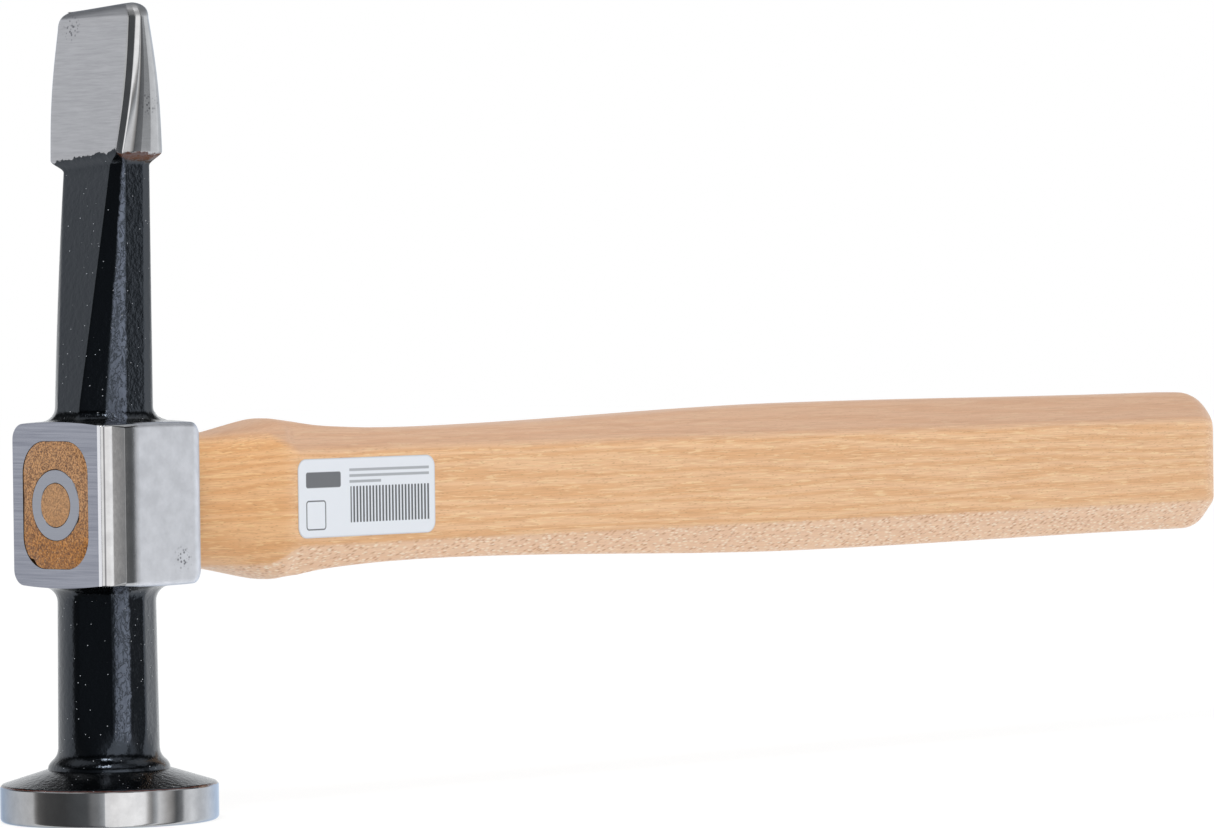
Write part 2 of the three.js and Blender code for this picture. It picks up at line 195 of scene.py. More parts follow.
# The block's near front corner, ground to facets, as steps along X and Y from the end face.
BLOCK_CORNER = rounded_path(
    [(0.0, 0.0), (0.0, 0.94), (1.35, 2.04), (4.0, 2.99), (5.9, 3.13), (7.2, 3.13)],
    [(0.05, 0.05), (0.4, 0.5), (0.05, 0.05), (0.6, 1.0)],
)

# Sections of the shank and the pein: the reach to the front, -X, and to the rear, half the width,
# the far corners' cuts along X and Y and how full their bows are, and the near ground corners.
SHANK_FOOT = {
    "front": 8.9, "rear": 8.9, "half": 9.0, "cut_x": 5.8, "cut_y": 6.3, "bow": 0.28,
    "near_front": rounded_path(
        [(0.0, 0.0), (0.0, 0.28), (2.86, 4.35), (6.45, 5.8), (6.85, 5.8)],
        [(0.2, 0.5), (0.5, 0.5), (0.3, 0.3)],
    ),
    "near_rear": rounded_path(
        [(0.0, 0.0), (4.6, 5.15), (7.0, 5.6), (7.4, 5.6)],
        [(1.0, 1.0), (0.3, 0.3)],
    ),
}
SHANK_HEAD = {
    "front": 2.65, "rear": 5.3, "half": 8.15, "cut_x": 2.0, "cut_y": 1.0, "bow": 0.8,
    "near_front": rounded_path(
        [(0.0, 0.0), (0.0, 0.1), (0.95, 2.2), (1.45, 2.7), (1.6, 2.7)],
        [(0.07, 0.2), (0.2, 0.2), (0.15, 0.1)],
    ),
    "near_rear": rounded_path(
        [(0.0, 0.0), (0.3, 0.65), (2.3, 1.0), (2.5, 1.0)],
        [(0.3, 0.5), (0.2, 0.15)],
    ),
}
PEIN_ROOT = {
    "front": 3.8, "rear": 6.4, "half": 10.15, "cut_x": 3.2, "cut_y": 0.7, "bow": 1.0,
    **pein_corners(2.65, 4.6, 1.55, 3.2),
}
PEIN_TIP = {
    "front": 0.9, "rear": 2.9, "half": 10.85, "cut_x": 1.6, "cut_y": 0.7, "bow": 1.0,
    **pein_corners(1.4, 1.8, 1.6, 1.6),
}


def between(low, high, share):
    """A section this share of the way from the low one to the high one."""
    return {name: low[name] * (1 - share) + high[name] * share for name in low}


def joined_corners(rear, front, near_front, near_rear):
    """The closed outline, counterclockwise from above, through the rear and the front corner on
    +Y and the front and the rear one on -Y, and the flats between. Each corner is given from its
    X side to its Y side."""
    corners = [rear, front[::-1], near_front, near_rear[::-1]]
    stretches = []
    for corner, following in zip(corners, corners[1:] + corners[:1]):
        flat = np.linspace(corner[-1], following[0], FLAT_STEPS)[1:-1]
        stretches += [corner, flat]
    return np.concatenate(stretches)


def bar_outline(size):
    """A section's outline: flats across X and Y, joined by two bows on +Y and by two ground
    corners on -Y, which are steps along X and Y from where each leaves its X side."""
    half = size["half"]
    bows = []
    for reach in (size["rear"], -size["front"]):
        start = np.array([reach, half - size["cut_y"]])
        end = np.array([reach - np.sign(reach) * size["cut_x"], half])
        bows.append(bow_between(start, np.array([reach, half]), end, size["bow"], CORNER_STEPS))
    front, rear = size["near_front"], size["near_rear"]
    near_front = front * [1.0, -1.0] + [-size["front"], front[-1, 1] - half]
    near_rear = rear * [-1.0, -1.0] + [size["rear"], rear[-1, 1] - half]
    return joined_corners(*bows, near_front, near_rear)


def block_outline():
    """The eye block seen from above: on the far side a wide elliptic front corner that the end
    face cuts off, on the near side a front corner ground to facets, and small round rear ones."""
    cut = np.arcsin((BLOCK_FRONT - FRONT_CENTRE) / FRONT_CORNER)
    front_turn = np.linspace(cut, 0.0, CORNER_STEPS)
    rear_turn = np.linspace(np.pi / 2, 0.0, CORNER_STEPS)
    front = np.stack([
        -FRONT_CENTRE - FRONT_CORNER * np.sin(front_turn),
        BLOCK_WIDTH / 2 - FRONT_CORNER_DEPTH * (1 - np.cos(front_turn)),
    ], axis=1)
    rear = np.stack([
        BLOCK_REAR - REAR_CORNER * (1 - np.sin(rear_turn)),
        BLOCK_WIDTH / 2 - REAR_CORNER * (1 - np.cos(rear_turn)),
    ], axis=1)
    near = BLOCK_CORNER * MIRROR_Y + [-BLOCK_FRONT, BLOCK_CORNER[-1, 1] - BLOCK_WIDTH / 2]
    return joined_corners(rear, front, near, rear * MIRROR_Y)


def block_half_width(x):
    """Half the block's width at x, less what its corners have turned in."""
    front = round_inset(-x - FRONT_CENTRE, FRONT_CORNER, FRONT_CORNER_DEPTH)
    rear = round_inset(x - (BLOCK_REAR - REAR_CORNER), REAR_CORNER, REAR_CORNER)
    return BLOCK_WIDTH / 2 - front - rear


def block_rise(outline, lower):
    """The height of the crowned top over the axis at the outline's points, `lower` below its
    full height: a flat that falls off to the front and the rear, plus a crown across Y."""
    x, y = outline[:, 0], outline[:, 1]
    fall = BLOCK_CROWN / 2 * np.minimum((x / BLOCK_FRONT) ** 2, 1.0)
    full = BLOCK_HEIGHT / 2 - BLOCK_CROWN - fall
    level = full - lower
    across = np.clip(y / block_half_width(x), -1.0, 1.0)
    return level + BLOCK_CROWN * (1.0 - across ** 2) * level / full


def outside(points, outline):
    """How far each point lies outside a convex counterclockwise outline: the largest of its
    distances from the lines along the outline's edges."""
    edges = np.roll(outline, -1, axis=0) - outline
    normals = np.stack([edges[:, 1], -edges[:, 0]], axis=1)
    normals /= np.linalg.norm(normals, axis=1)[:, None]
    reach = (normals * outline).sum(axis=1)
    return (points @ normals.T - reach).max(axis=1)


def block_half(foot, fillet):
    """Rings from the widest part of the block over its rounded edge and its crowned top, and up
    a quarter-round fillet to the foot that stands on it. Returns points and heights over the
    axis. The edge turns in by its radius on the cheeks, less deep at the rear, not at the front.
    Its radius is smaller on the near side, and smallest at the ground corner."""
    side = block_outline()
    rearward = np.clip((side[:, 0] - (BLOCK_REAR - REAR_CORNER)) / REAR_CORNER, 0.0, 1.0)
    sideward = np.sqrt(1.0 - rearward ** 2)
    end_face = side[:, 0] < -BLOCK_FRONT + 1e-6
    nearness = np.clip(-side[:, 1] / NEAR_BLEND, 0.0, 1.0)
    at_corner = np.clip(-side[:, 0] - BLOCK_FRONT + CORNER_BLEND, 0.0, 1.0) * nearness
    round_off = TOP_EDGE + (NEAR_TOP_EDGE - TOP_EDGE) * nearness
    round_off = round_off + (CORNER_TOP_EDGE - round_off) * at_corner
    edge = round_off + (REAR_EDGE_HEIGHT - round_off) * rearward
    reach_y = np.where(end_face, np.abs(side[:, 1]) / block_half_width(side[:, 0]), sideward)
    pull = np.stack([REAR_EDGE_DEPTH * rearward, round_off * reach_y * np.sign(side[:, 1])], axis=1)
    outlines = [side - pull * (1 - np.cos(turn)) for turn in QUARTER]
    lowered = [edge * (1 - np.sin(turn)) for turn in QUARTER]
    top = outlines[-1]
    room = outside(top, foot)
    rim = foot + (top - foot) * np.minimum(1.0, fillet / np.maximum(room, 1e-6))[:, None]
    for share in np.linspace(0.0, 1.0, TOP_STEPS)[1:]:
        outlines.append(top * (1 - share) + rim * share)
    for turn in QUARTER[1:]:
        outlines.append(foot + (rim - foot) * (1 - np.sin(turn)))
    lowered += [np.zeros(len(side))] * (len(outlines) - len(lowered))
    rises = []
    for outline, lower in zip(outlines, lowered):
        on_fillet = fillet - np.clip(outside(outline, foot), 0.0, fillet)
        rises.append(block_rise(outline, lower) + round_inset(on_fillet, fillet, fillet))
    return np.array(outlines), np.array(rises)


def circle_at(outline, radius):
    """A circle whose points lie at the same angles as the outline's."""
    angle = np.arctan2(outline[:, 1], outline[:, 0])
    return radius * np.stack([np.cos(angle), np.sin(angle)], axis=1)


# Where the neck's near side is hammered into flats, from the end face's side to past -Y.
NECK_FLATS = np.array([[-8.84, -1.71], [-5.09, -7.69], [-2.93, -9.07], [0.67, -9.36], [4.36, -7.88]])
SOFTENED_DEGREES = 5.5


def neck_outline(around, radius, flatness):
    """A circle at the outline's angles, whose near side turns into flats as flatness goes to 1.
    They lie less than 0.7 mm inside or outside the circle, and their creases are softened by a
    moving mean over a few degrees."""
    step = 0.5
    turn = np.radians(np.arange(0.0, 360.0, step))
    ways = np.stack([np.cos(turn), np.sin(turn)], axis=1)
    legs = np.diff(NECK_FLATS, axis=0)
    normals = np.stack([legs[:, 1], -legs[:, 0]], axis=1)
    facing = ways @ normals.T
    away = (normals * NECK_FLATS[:-1]).sum(axis=1)
    reach = np.where(facing > 0, away / np.maximum(facing, 1e-6), np.inf).min(axis=1)
    first, last = np.arctan2(NECK_FLATS[[0, -1], 1], NECK_FLATS[[0, -1], 0]) % (2 * np.pi)
    share = np.where((turn > first) & (turn < last), reach / NECK_RADIUS, 1.0)
    window = np.hanning(round(SOFTENED_DEGREES / step))
    share = np.convolve(np.tile(share, 3), window / window.sum(), "same")[len(turn):2 * len(turn)]
    angle = np.arctan2(around[:, 1], around[:, 0])
    share = 1.0 + (np.interp(angle, turn, share, period=2 * np.pi) - 1.0) * flatness
    return circle_at(around, radius) * share[:, None]


def stacked(outlines, heights):
    """Rings across Z from outlines in the plane and one height a ring."""
    outlines = np.asarray(outlines)
    heights = np.broadcast_to(np.asarray(heights)[:, None], outlines.shape[:2])
    return np.concatenate([outlines, heights[:, :, None]], axis=2)


def disc_and_neck_rings(around):
    """The revolved part: face, edge round, rim, break, cone, and a collar whose flare starts
    from a rounded foot and eases into the neck."""
    turn = np.linspace(0.0, np.pi / 2, 7)
    face = np.array([[4.0, 0.0], [10.0, 0.0], [15.0, 0.0], [18.6, 0.0]])
    edge = np.stack([
        FACE_RADIUS - FACE_EDGE * (1 - np.sin(turn)),
        FACE_EDGE * (1 - np.cos(turn)),
    ], axis=1)
    rim_top = np.array([FACE_RADIUS - RIM_BREAK, RIM_HEIGHT])
    rim = np.array([[FACE_RADIUS, 2.4], [FACE_RADIUS, 4.4], [FACE_RADIUS, RIM_HEIGHT - RIM_BREAK]])
    cone_top = np.array([CONE_TOP_RADIUS, RIM_HEIGHT + CONE_HEIGHT])
    cone = np.linspace(rim_top, cone_top, 10)
    foot = cone_top + [0.0, COLLAR_SIDE]
    crease = np.array([NECK_FOOT_RADIUS, cone_top[1] + COLLAR_HEIGHT])
    middle = (foot + crease) / 2
    bead = bow_between(cone_top, foot, middle, 1.0, 10)[1:]
    flare = bow_between(middle, crease, crease + [0.0, COLLAR_EASE], 1.0, 10)[1:]
    profile = np.concatenate([face, edge, rim, cone, bead, flare])
    return stacked([circle_at(around, radius) for radius in profile[:, 0]], profile[:, 1])


def lower_rings():
    """From the striking face up the neck to the block, and along its side to where the shank
    stands on it."""
    around = block_outline()
    low_outlines, low_rises = block_half(neck_outline(around, NECK_RADIUS, 1.0), NECK_FILLET)
    high_outlines, high_rises = block_half(bar_outline(SHANK_FOOT), SHANK_FILLET)
    collar_top = RIM_HEIGHT + CONE_HEIGHT + COLLAR_HEIGHT + COLLAR_EASE
    neck_top = AXIS_HEIGHT - low_rises[-1].max()
    shares = np.linspace(0.0, 1.0, NECK_STEPS)[1:-1]
    radii = NECK_FOOT_RADIUS + (NECK_RADIUS - NECK_FOOT_RADIUS) * shares
    flatness = np.clip(shares * 8.0, 0.0, 1.0)
    neck = [neck_outline(around, *settings) for settings in zip(radii, flatness)]
    below = np.concatenate([low_outlines, AXIS_HEIGHT - low_rises[:, :, None]], axis=2)
    above = np.concatenate([high_outlines, AXIS_HEIGHT + high_rises[:, :, None]], axis=2)
    wall = [
        np.column_stack([around, below[0][:, 2] * (1 - share) + above[0][:, 2] * share])
        for share in np.linspace(0.0, 1.0, WALL_STEPS)[1:-1]
    ]
    neck = stacked(neck, collar_top + (neck_top - collar_top) * shares)
    return [disc_and_neck_rings(around), neck, below[::-1], np.array(wall), above]


def upper_rings():
    """From the shank's foot over the ledge and along the pein, which is widest midway, to its
    rounded nose."""
    ledge_start = PEIN_START - PEIN_LEDGE
    nose_start = HEAD_HEIGHT - PEIN_CORNER
    shares = np.linspace(0.0, 1.0, SHANK_STEPS)[1:]
    shank = [bar_outline(between(SHANK_FOOT, SHANK_HEAD, share)) for share in shares]
    rings = [stacked(shank, SHANK_START + (ledge_start - SHANK_START) * shares)]
    shares = np.linspace(0.0, 1.0, LEDGE_STEPS)[1:]
    ledge = [bar_outline(between(SHANK_HEAD, PEIN_ROOT, share)) for share in eased(shares)]
    rings.append(stacked(ledge, ledge_start + PEIN_LEDGE * shares))
    shares = np.linspace(0.0, 1.0, PEIN_STEPS)[1:]
    pein = []
    for share in shares:
        size = between(PEIN_ROOT, PEIN_TIP, share)
        size["half"] += PEIN_BARREL * np.sin(np.pi * share)
        pein.append(bar_outline(size))
    rings.append(stacked(pein, PEIN_START + (nose_start - PEIN_START) * shares))
    rises = PEIN_CORNER * np.sin(QUARTER[1:])
    nose = []
    for rise in rises:
        thinned = round_inset(rise - PEIN_CORNER + PEIN_NOSE, PEIN_NOSE, PEIN_TIP["cut_x"])
        front, rear = PEIN_TIP["front"] - thinned, PEIN_TIP["rear"] - thinned
        cut = min(PEIN_TIP["cut_x"], LONGEST_CUT_SHARE * (front + rear))
        half = PEIN_TIP["half"] - round_inset(rise, PEIN_CORNER, PEIN_CORNER)
        corners = pein_corners(0.87 * cut, 1.12 * cut, 1.6, cut)
        sizes = {"front": front, "rear": rear, "half": half, "cut_x": cut}
        nose.append(bar_outline({**PEIN_TIP, **sizes, **corners}))
    rings.append(stacked(nose, nose_start + rises))
    return rings


def head_rings():
    """Every ring of the head from the striking face to the pein's edge. The pein is ground at a
    slight slant: it rises towards -Y, by a share that eases in below its ledge."""
    rings = np.concatenate(lower_rings() + upper_rings())
    slant_start = PEIN_START - PEIN_LEDGE - PEIN_SLANT_RUN
    ramp = np.clip((rings[:, :, 2] - slant_start) / PEIN_SLANT_RUN, 0.0, 1.0)
    slant = PEIN_SLANT * rings[:, :, 1] / (2 * PEIN_TIP["half"])
    rings[:, :, 2] -= slant * eased(ramp)
    return rings


def rounded_rectangle(half_width, half_height, radius, count):
    """A rectangle with round corners, counterclockwise from +X, with `count` points on each
    corner and on each side."""
    turn = np.linspace(0.0, np.pi / 2, count)
    corner = np.stack([
        half_width - radius + radius * np.cos(turn),
        half_height - radius + radius * np.sin(turn),
    ], axis=1)
    left = corner[::-1] * [-1.0, 1.0]
    corners = [corner, left, -corner, -left]
    stretches = []
    for here, following in zip(corners, corners[1:] + corners[:1]):
        stretches += [here, np.linspace(here[-1], following[0], count)[1:-1]]
    return np.concatenate(stretches)


def eye_outline(x, gap):
    """The eye at x, `gap` inside its wall: its waist is narrower than both mouths."""
    reach = BLOCK_FRONT if x < 0 else BLOCK_REAR
    inset = EYE_WAIST * (1.0 - min(abs(x) / reach, 1.0) ** 2) + gap
    return rounded_rectangle(EYE_WIDTH / 2 - inset, EYE_HEIGHT / 2 - inset, EYE_CORNER - inset, 18)


def mesh_piece(name, points, faces):
    """An object in the scene, from points in millimetres and faces."""
    mesh = bpy.data.meshes.new(name)
    mesh.from_pydata((points * MM).tolist(), [], faces)
    piece = bpy.data.objects.new(name, mesh)
    bpy.context.scene.collection.objects.link(piece)
    return piece


def skin(name, rings):
    """A closed mesh through rings, given as rows x columns x 3 in millimetres: quads between
    neighbouring rings, and a fan to the middle of the first and of the last ring."""
    rows, columns = rings.shape[:2]
    points = np.concatenate([rings.reshape(-1, 3), rings[[0, -1]].mean(axis=1)])
    here = np.arange(rows * columns).reshape(rows, columns)
    on = np.roll(here, -1, axis=1)
    quads = np.stack([here[:-1], on[:-1], on[1:], here[1:]], axis=-1).reshape(-1, 4)
    first = np.stack([on[0], here[0], np.full(columns, len(points) - 2)], axis=-1)
    last = np.stack([here[-1], on[-1], np.full(columns, len(points) - 1)], axis=-1)
    return mesh_piece(name, points, quads.tolist() + first.tolist() + last.tolist())


def smoothed(piece, crease_degrees):
    """Shades the piece smooth, but for edges that turn by more than the crease angle."""
    piece.data.polygons.foreach_set("use_smooth", np.ones(len(piece.data.polygons), bool))
    piece.data.set_sharp_from_angle(angle=np.radians(crease_degrees))


def cut_out(piece, cutter):
    """Cuts the cutter out of the piece, and keeps only the piece's finished mesh."""
    cut = piece.modifiers.new("cut", "BOOLEAN")
    cut.operation = "DIFFERENCE"
    cut.solver = "EXACT"
    cut.object = cutter
    finished = piece.evaluated_get(bpy.context.evaluated_depsgraph_get())
    mesh = bpy.data.meshes.new_from_object(finished)
    piece.modifiers.clear()
    piece.data = mesh
    bpy.data.objects.remove(cutter)


head = skin("hammer_head_forging", head_rings())
eye_places = np.linspace(-BLOCK_FRONT - 2.0, BLOCK_REAR + 2.0, 25)
eye_rings = [np.insert(eye_outline(x, 0.0) + [0.0, AXIS_HEIGHT], 0, x, axis=1) for x in eye_places]
cut_out(head, skin("eye", np.array(eye_rings)))
smoothed(head, 27)
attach(head, "root")
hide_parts("hammer_head")


def linear(hex_colour):
    """An sRGB hex colour as linear red, green, blue and alpha."""
    values = np.array([int(hex_colour[i:i + 2], 16) for i in (1, 3, 5)]) / 255.0
    low = values / 12.92
    high = ((values + 0.055) / 1.055) ** 2.4
    return (*np.where(values <= 0.04045, low, high), 1.0)


def feed(tree, node, inputs):
    """Gives each input, by name or by number, a value, a hex colour, another node's output, or
    another node, which stands for its first output in use."""
    for name, value in inputs.items():
        in_use = {socket.name: socket for socket in reversed(node.inputs) if socket.enabled}
        target = node.inputs[name] if isinstance(name, int) else in_use[name]
        if isinstance(value, str):
            value = linear(value)
        if isinstance(value, bpy.types.Node):
            value = next(socket for socket in value.outputs if socket.enabled)
        if isinstance(value, bpy.types.NodeSocket):
            tree.links.new(value, target)
        else:
            target.default_value = value


def add(tree, kind, *inputs, stops=(), **named):
    """Adds a shader node. Its inputs are given in their order or by their names, which start with
    a capital, its settings by names in small letters, and a ramp's stops from left to right. A
    MapRange's inputs are the value, the range it comes from and the range it goes to."""
    node = tree.nodes.new("ShaderNode" + kind)
    for name in [name for name in named if name.islower()]:
        setattr(node, name, named.pop(name))
    for place, (position, colour) in enumerate(stops):
        elements = node.color_ramp.elements
        stop = elements[place] if place < 2 else elements.new(position)
        stop.position = position
        stop.color = linear(colour) if isinstance(colour, str) else colour
    feed(tree, node, {**dict(enumerate(inputs)), **named})
    return node


def emptied_tree(owner):
    """The node tree of a material or of the world, with no node in it."""
    owner.use_nodes = True
    owner.node_tree.nodes.clear()
    return owner.node_tree


def blank_material(name):
    """A new material, its node tree with one Principled shader, that shader, and the place on
    the object in millimetres."""
    material = bpy.data.materials.new(name)
    tree = emptied_tree(material)
    shader = add(tree, "BsdfPrincipled")
    add(tree, "OutputMaterial", Surface=shader)
    place = add(tree, "TexCoord").outputs["Object"]
    return material, tree, shader, add(tree, "VectorMath", place, Scale=1 / MM, operation="SCALE")


def flecks(tree, way, scale, edge, full, strength):
    """Spots round the middles of Voronoi cells, from nothing at this distance from a middle, in
    cells, to full strength at that one."""
    cells = add(tree, "TexVoronoi", Vector=way, Scale=scale)
    return add(tree, "MapRange", cells.outputs["Distance"], edge, full, 0.0, strength)


# Gloss black lacquer over forged steel, and the steel itself where it was ground. It gives the
# eye a deep bluish black with a soft orange peel, beside metal that mirrors its surroundings in
# long stripes along the polished edges and is satin on the cheeks.
steel, tree, shader, mm = blank_material("black_lacquer_over_ground_steel")
x_mm, y_mm, z_mm = add(tree, "SeparateXYZ", mm).outputs
across_mm = add(tree, "Math", y_mm, operation="ABSOLUTE")
from_axis = add(tree, "Math", z_mm, AXIS_HEIGHT, operation="SUBTRACT")
from_axis = add(tree, "Math", from_axis, operation="ABSOLUTE")
in_block = add(tree, "Math", from_axis, BLOCK_HEIGHT / 2 + 0.2, operation="LESS_THAN")
rag = add(tree, "TexNoise", Vector=mm, Scale=0.45, Detail=5.0, Roughness=0.65)
ragged = add(tree, "MapRange", rag, 0.3, 0.7, -1.0, 1.0)


def ragged_edge(measure, wander, none, full):
    """A mask from 0 where a measure in millimetres is `none` to 1 where it is `full`, with an
    edge that wanders by this much either way."""
    wandering = add(tree, "Math", ragged, wander, measure, operation="MULTIPLY_ADD")
    return add(tree, "MapRange", wandering, none, full)


# Where the steel is bare: the rim, the block's end face and cheeks, and the pein, whose lacquer
# ends lower on the ground bevel.
rim_bare = ragged_edge(z_mm, 0.08, RIM_HEIGHT - 0.28, RIM_HEIGHT - 0.4)
low_bare = ragged_edge(from_axis, 0.3, BLOCK_HEIGHT / 2 - 0.8, BLOCK_HEIGHT / 2 - 1.0)
side_bare = ragged_edge(across_mm, 0.3, BLOCK_WIDTH / 2 - 1.5, BLOCK_WIDTH / 2 - 1.2)
rear_bare = ragged_edge(x_mm, 0.25, BLOCK_REAR - 0.5, BLOCK_REAR - 0.7)
cheek_bare = add(tree, "Math", low_bare, side_bare, operation="MAXIMUM")
cheek_bare = add(tree, "Math", cheek_bare, rear_bare, operation="MULTIPLY")
end_bare = add(tree, "MapRange", x_mm, 0.04 - BLOCK_FRONT, 0.01 - BLOCK_FRONT)
block_bare = add(tree, "Math", cheek_bare, end_bare, operation="MAXIMUM")
block_bare = add(tree, "Math", block_bare, in_block, operation="MULTIPLY")
on_bevel = add(tree, "MapRange", y_mm, -8.3, -8.9, 0.0, 0.6)
pein_edge = add(tree, "Math", y_mm, 0.1, z_mm, operation="MULTIPLY_ADD")
pein_edge = add(tree, "Math", pein_edge, on_bevel, operation="ADD")
pein_bare = ragged_edge(pein_edge, 0.55, PEIN_START - 0.1, PEIN_START + 0.1)
bare = add(tree, "Math", rim_bare, pein_bare, operation="MAXIMUM")
bare = add(tree, "Math", bare, block_bare, operation="MAXIMUM")

# Bare steel: satin on the cheeks and the pein's wide face, brushed along Y on the end face,
# polished on the rim and the ground corners. The grinding marks are drawn 0.3 mm apart, which is
# coarser than a belt leaves them, so that they show.
on_cheek = add(tree, "MapRange", x_mm, -6.4, -4.6)
on_cheek = add(tree, "Math", on_cheek, in_block, operation="MULTIPLY")
end_steel = add(tree, "Math", end_bare, in_block, operation="MULTIPLY")
wide_face = add(tree, "MapRange", y_mm, -9.2, -8.8)
wide_face = add(tree, "Math", wide_face, pein_bare, operation="MULTIPLY")
satin = add(tree, "Math", wide_face, 0.45, on_cheek, operation="MULTIPLY_ADD")
satin = add(tree, "Math", end_steel, 0.4, satin, operation="MULTIPLY_ADD")
dressed_edge = add(tree, "MapRange", z_mm, HEAD_HEIGHT - 2.3, HEAD_HEIGHT - 1.7)
satin = add(tree, "Math", satin, dressed_edge, operation="MAXIMUM")
mottle = add(tree, "TexNoise", Vector=mm, Scale=0.35, Detail=6.0, Roughness=0.6)
brush_way = add(tree, "Mapping", Vector=mm, Scale=(0.3, 0.07, 3.4))
brushed = add(tree, "TexNoise", Vector=brush_way, Scale=1.0, Detail=3.0, Roughness=0.6)
scratch_way = add(tree, "Mapping", Vector=mm, Scale=(0.3, 0.16, 3.0), Rotation=(0.35, 0.0, 0.0))
scratches = add(tree, "TexNoise", Vector=scratch_way, Scale=1.0, Detail=4.0, Roughness=0.7)
ground = add(tree, "ValToRGB", mottle, stops=((0.35, "#929293"), (0.65, "#9d9d9e")))
rubbed = add(tree, "ValToRGB", mottle, stops=((0.35, "#bdbec2"), (0.65, "#cbccd0")))
end_tone = add(tree, "ValToRGB", brushed, stops=((0.3, "#7d7f89"), (0.7, "#94969f")))
face_tone = add(tree, "ValToRGB", scratches, stops=((0.35, "#98989b"), (0.65, "#a6a6a9")))

# A dark line down the near front corner, close to the end face, and a pale band along the end
# face's near edge beside it.
from_line = add(tree, "Math", x_mm, BLOCK_FRONT - 0.47, operation="ADD")
from_line = add(tree, "Math", from_line, operation="ABSOLUTE")
dark_corner_line = add(tree, "MapRange", from_line, 0.16, 0.04, 0.0, 0.75)
dark_corner_line = add(tree, "Math", dark_corner_line, in_block, operation="MULTIPLY")
pale_edge_line = add(tree, "MapRange", y_mm, -11.66, -11.76)
pale_edge_line = add(tree, "Math", pale_edge_line, end_steel, operation="MULTIPLY")
metal = ground
for share, tone in (
    (on_cheek, rubbed), (wide_face, face_tone), (dark_corner_line, "#2c2c30"), (end_steel, end_tone),
    (pale_edge_line, "#d6d6da"),
):
    metal = add(tree, "Mix", Factor=share, A=metal, B=tone, data_type="RGBA")

# Small forging pits in three clusters that grinding has not reached: their middles and reaches.
PIT_CLUSTERS = (((5.5, -14.8, 48.0), 2.6), ((2.2, -10.9, 131.0), 2.6), ((-1.4, 6.5, 145.0), 2.8))
pit = flecks(tree, mm, 1.5, 0.42, 0.25, 1.0)
for centre, reach in PIT_CLUSTERS:
    away = add(tree, "VectorMath", mm, centre, operation="DISTANCE").outputs["Value"]
    in_cluster = add(tree, "MapRange", away, reach, 0.4 * reach, 0.0, 0.7)
    pitted = add(tree, "Math", in_cluster, pit, operation="MULTIPLY")
    metal = add(tree, "Mix", Factor=pitted, A=metal, B="#3c3d42", data_type="RGBA")

# The lacquer ran down the shank and the neck below the block's ground corner, where it is thick
# and crinkled. Its paler bluish grey there is partly a dull haze and partly a painted reflection
# of the bright surround. RUN_WAY points across that corner, from the end face's side to the
# cheek's, and the run lies between two places along it. Up the shank its start leans to the cheek.
RUN_WAY = (0.694, -0.72, 0.0)
RUN_START_ON_NECK = 1.9
RUN_START_ON_SHANK = 1.1
RUN_END = 4.9
RUN_LEAN = 0.0715
sideways = add(tree, "VectorMath", mm, RUN_WAY, operation="DOT_PRODUCT")
sideways = add(tree, "Math", ragged, 0.3, sideways, operation="MULTIPLY_ADD")
climbed = add(tree, "Math", z_mm, SHANK_START, operation="SUBTRACT")
climbed = add(tree, "Math", climbed, 0.0, operation="MAXIMUM")
run_start = add(tree, "Math", climbed, -RUN_LEAN, sideways, operation="MULTIPLY_ADD")
start = add(tree, "MapRange", z_mm, 60.0, 61.0, RUN_START_ON_NECK, RUN_START_ON_SHANK)
run_start = add(tree, "Math", run_start, start, operation="SUBTRACT")
run_start = add(tree, "MapRange", run_start, 0.0, 0.35)
run_end = add(tree, "MapRange", sideways, RUN_END, RUN_END - 0.3)
over_collar = add(tree, "MapRange", z_mm, 14.0, 16.0)
run_end = add(tree, "Math", run_end, over_collar, operation="MULTIPLY")
on_near_side = add(tree, "Math", x_mm, y_mm, operation="ADD")
on_near_side = add(tree, "Math", on_near_side, -4.0, operation="LESS_THAN")
run = add(tree, "Math", run_start, run_end, operation="MULTIPLY")
run = add(tree, "Math", run, on_near_side, operation="MULTIPLY")
fold_way = add(tree, "Mapping", Vector=mm, Scale=(1.0, 1.0, 0.55))
folds = add(tree, "TexNoise", Vector=fold_way, Scale=0.9, Detail=4.0, Roughness=0.6, Distortion=0.8)
folds = add(tree, "Math", folds, 0.5, operation="SUBTRACT")
folds = add(tree, "Math", folds, operation="ABSOLUTE")
# Haze and painted reflection: the paler tone, broken by dark fold lines, grows towards the cheek.
haze_and_sheen = add(tree, "MapRange", folds, 0.005, 0.06)
paler = add(tree, "MapRange", sideways, 1.5, 4.5, 0.55, 1.0)
haze_and_sheen = add(tree, "Math", haze_and_sheen, paler, operation="MULTIPLY")
haze_and_sheen = add(tree, "Math", haze_and_sheen, run, operation="MULTIPLY")

# Near-black, with specks of dust in it, 0.2 mm across, whose pale colour is a painted glint, and
# brown where it thins out over the rim and under the pein's ledge.
dust_and_glint = flecks(tree, mm, 0.75, 0.085, 0.06, 0.8)
thin_lacquer = ragged_edge(z_mm, 0.08, RIM_HEIGHT - 0.12, RIM_HEIGHT - 0.2)
under_ledge = add(tree, "MapRange", z_mm, PEIN_START - 1.9, PEIN_START - 1.1)
outward = add(tree, "MapRange", y_mm, -8.5, -9.0, 0.0, 0.85)
under_ledge = add(tree, "Math", under_ledge, outward, operation="MULTIPLY")
lacquer = "#030405"
for share, tone in (
    (dust_and_glint, "#c3c7ce"), (haze_and_sheen, "#5c626f"), (thin_lacquer, "#4a2418"), (under_ledge, "#5c3826"),
):
    lacquer = add(tree, "Mix", Factor=share, A=lacquer, B=tone, data_type="RGBA")

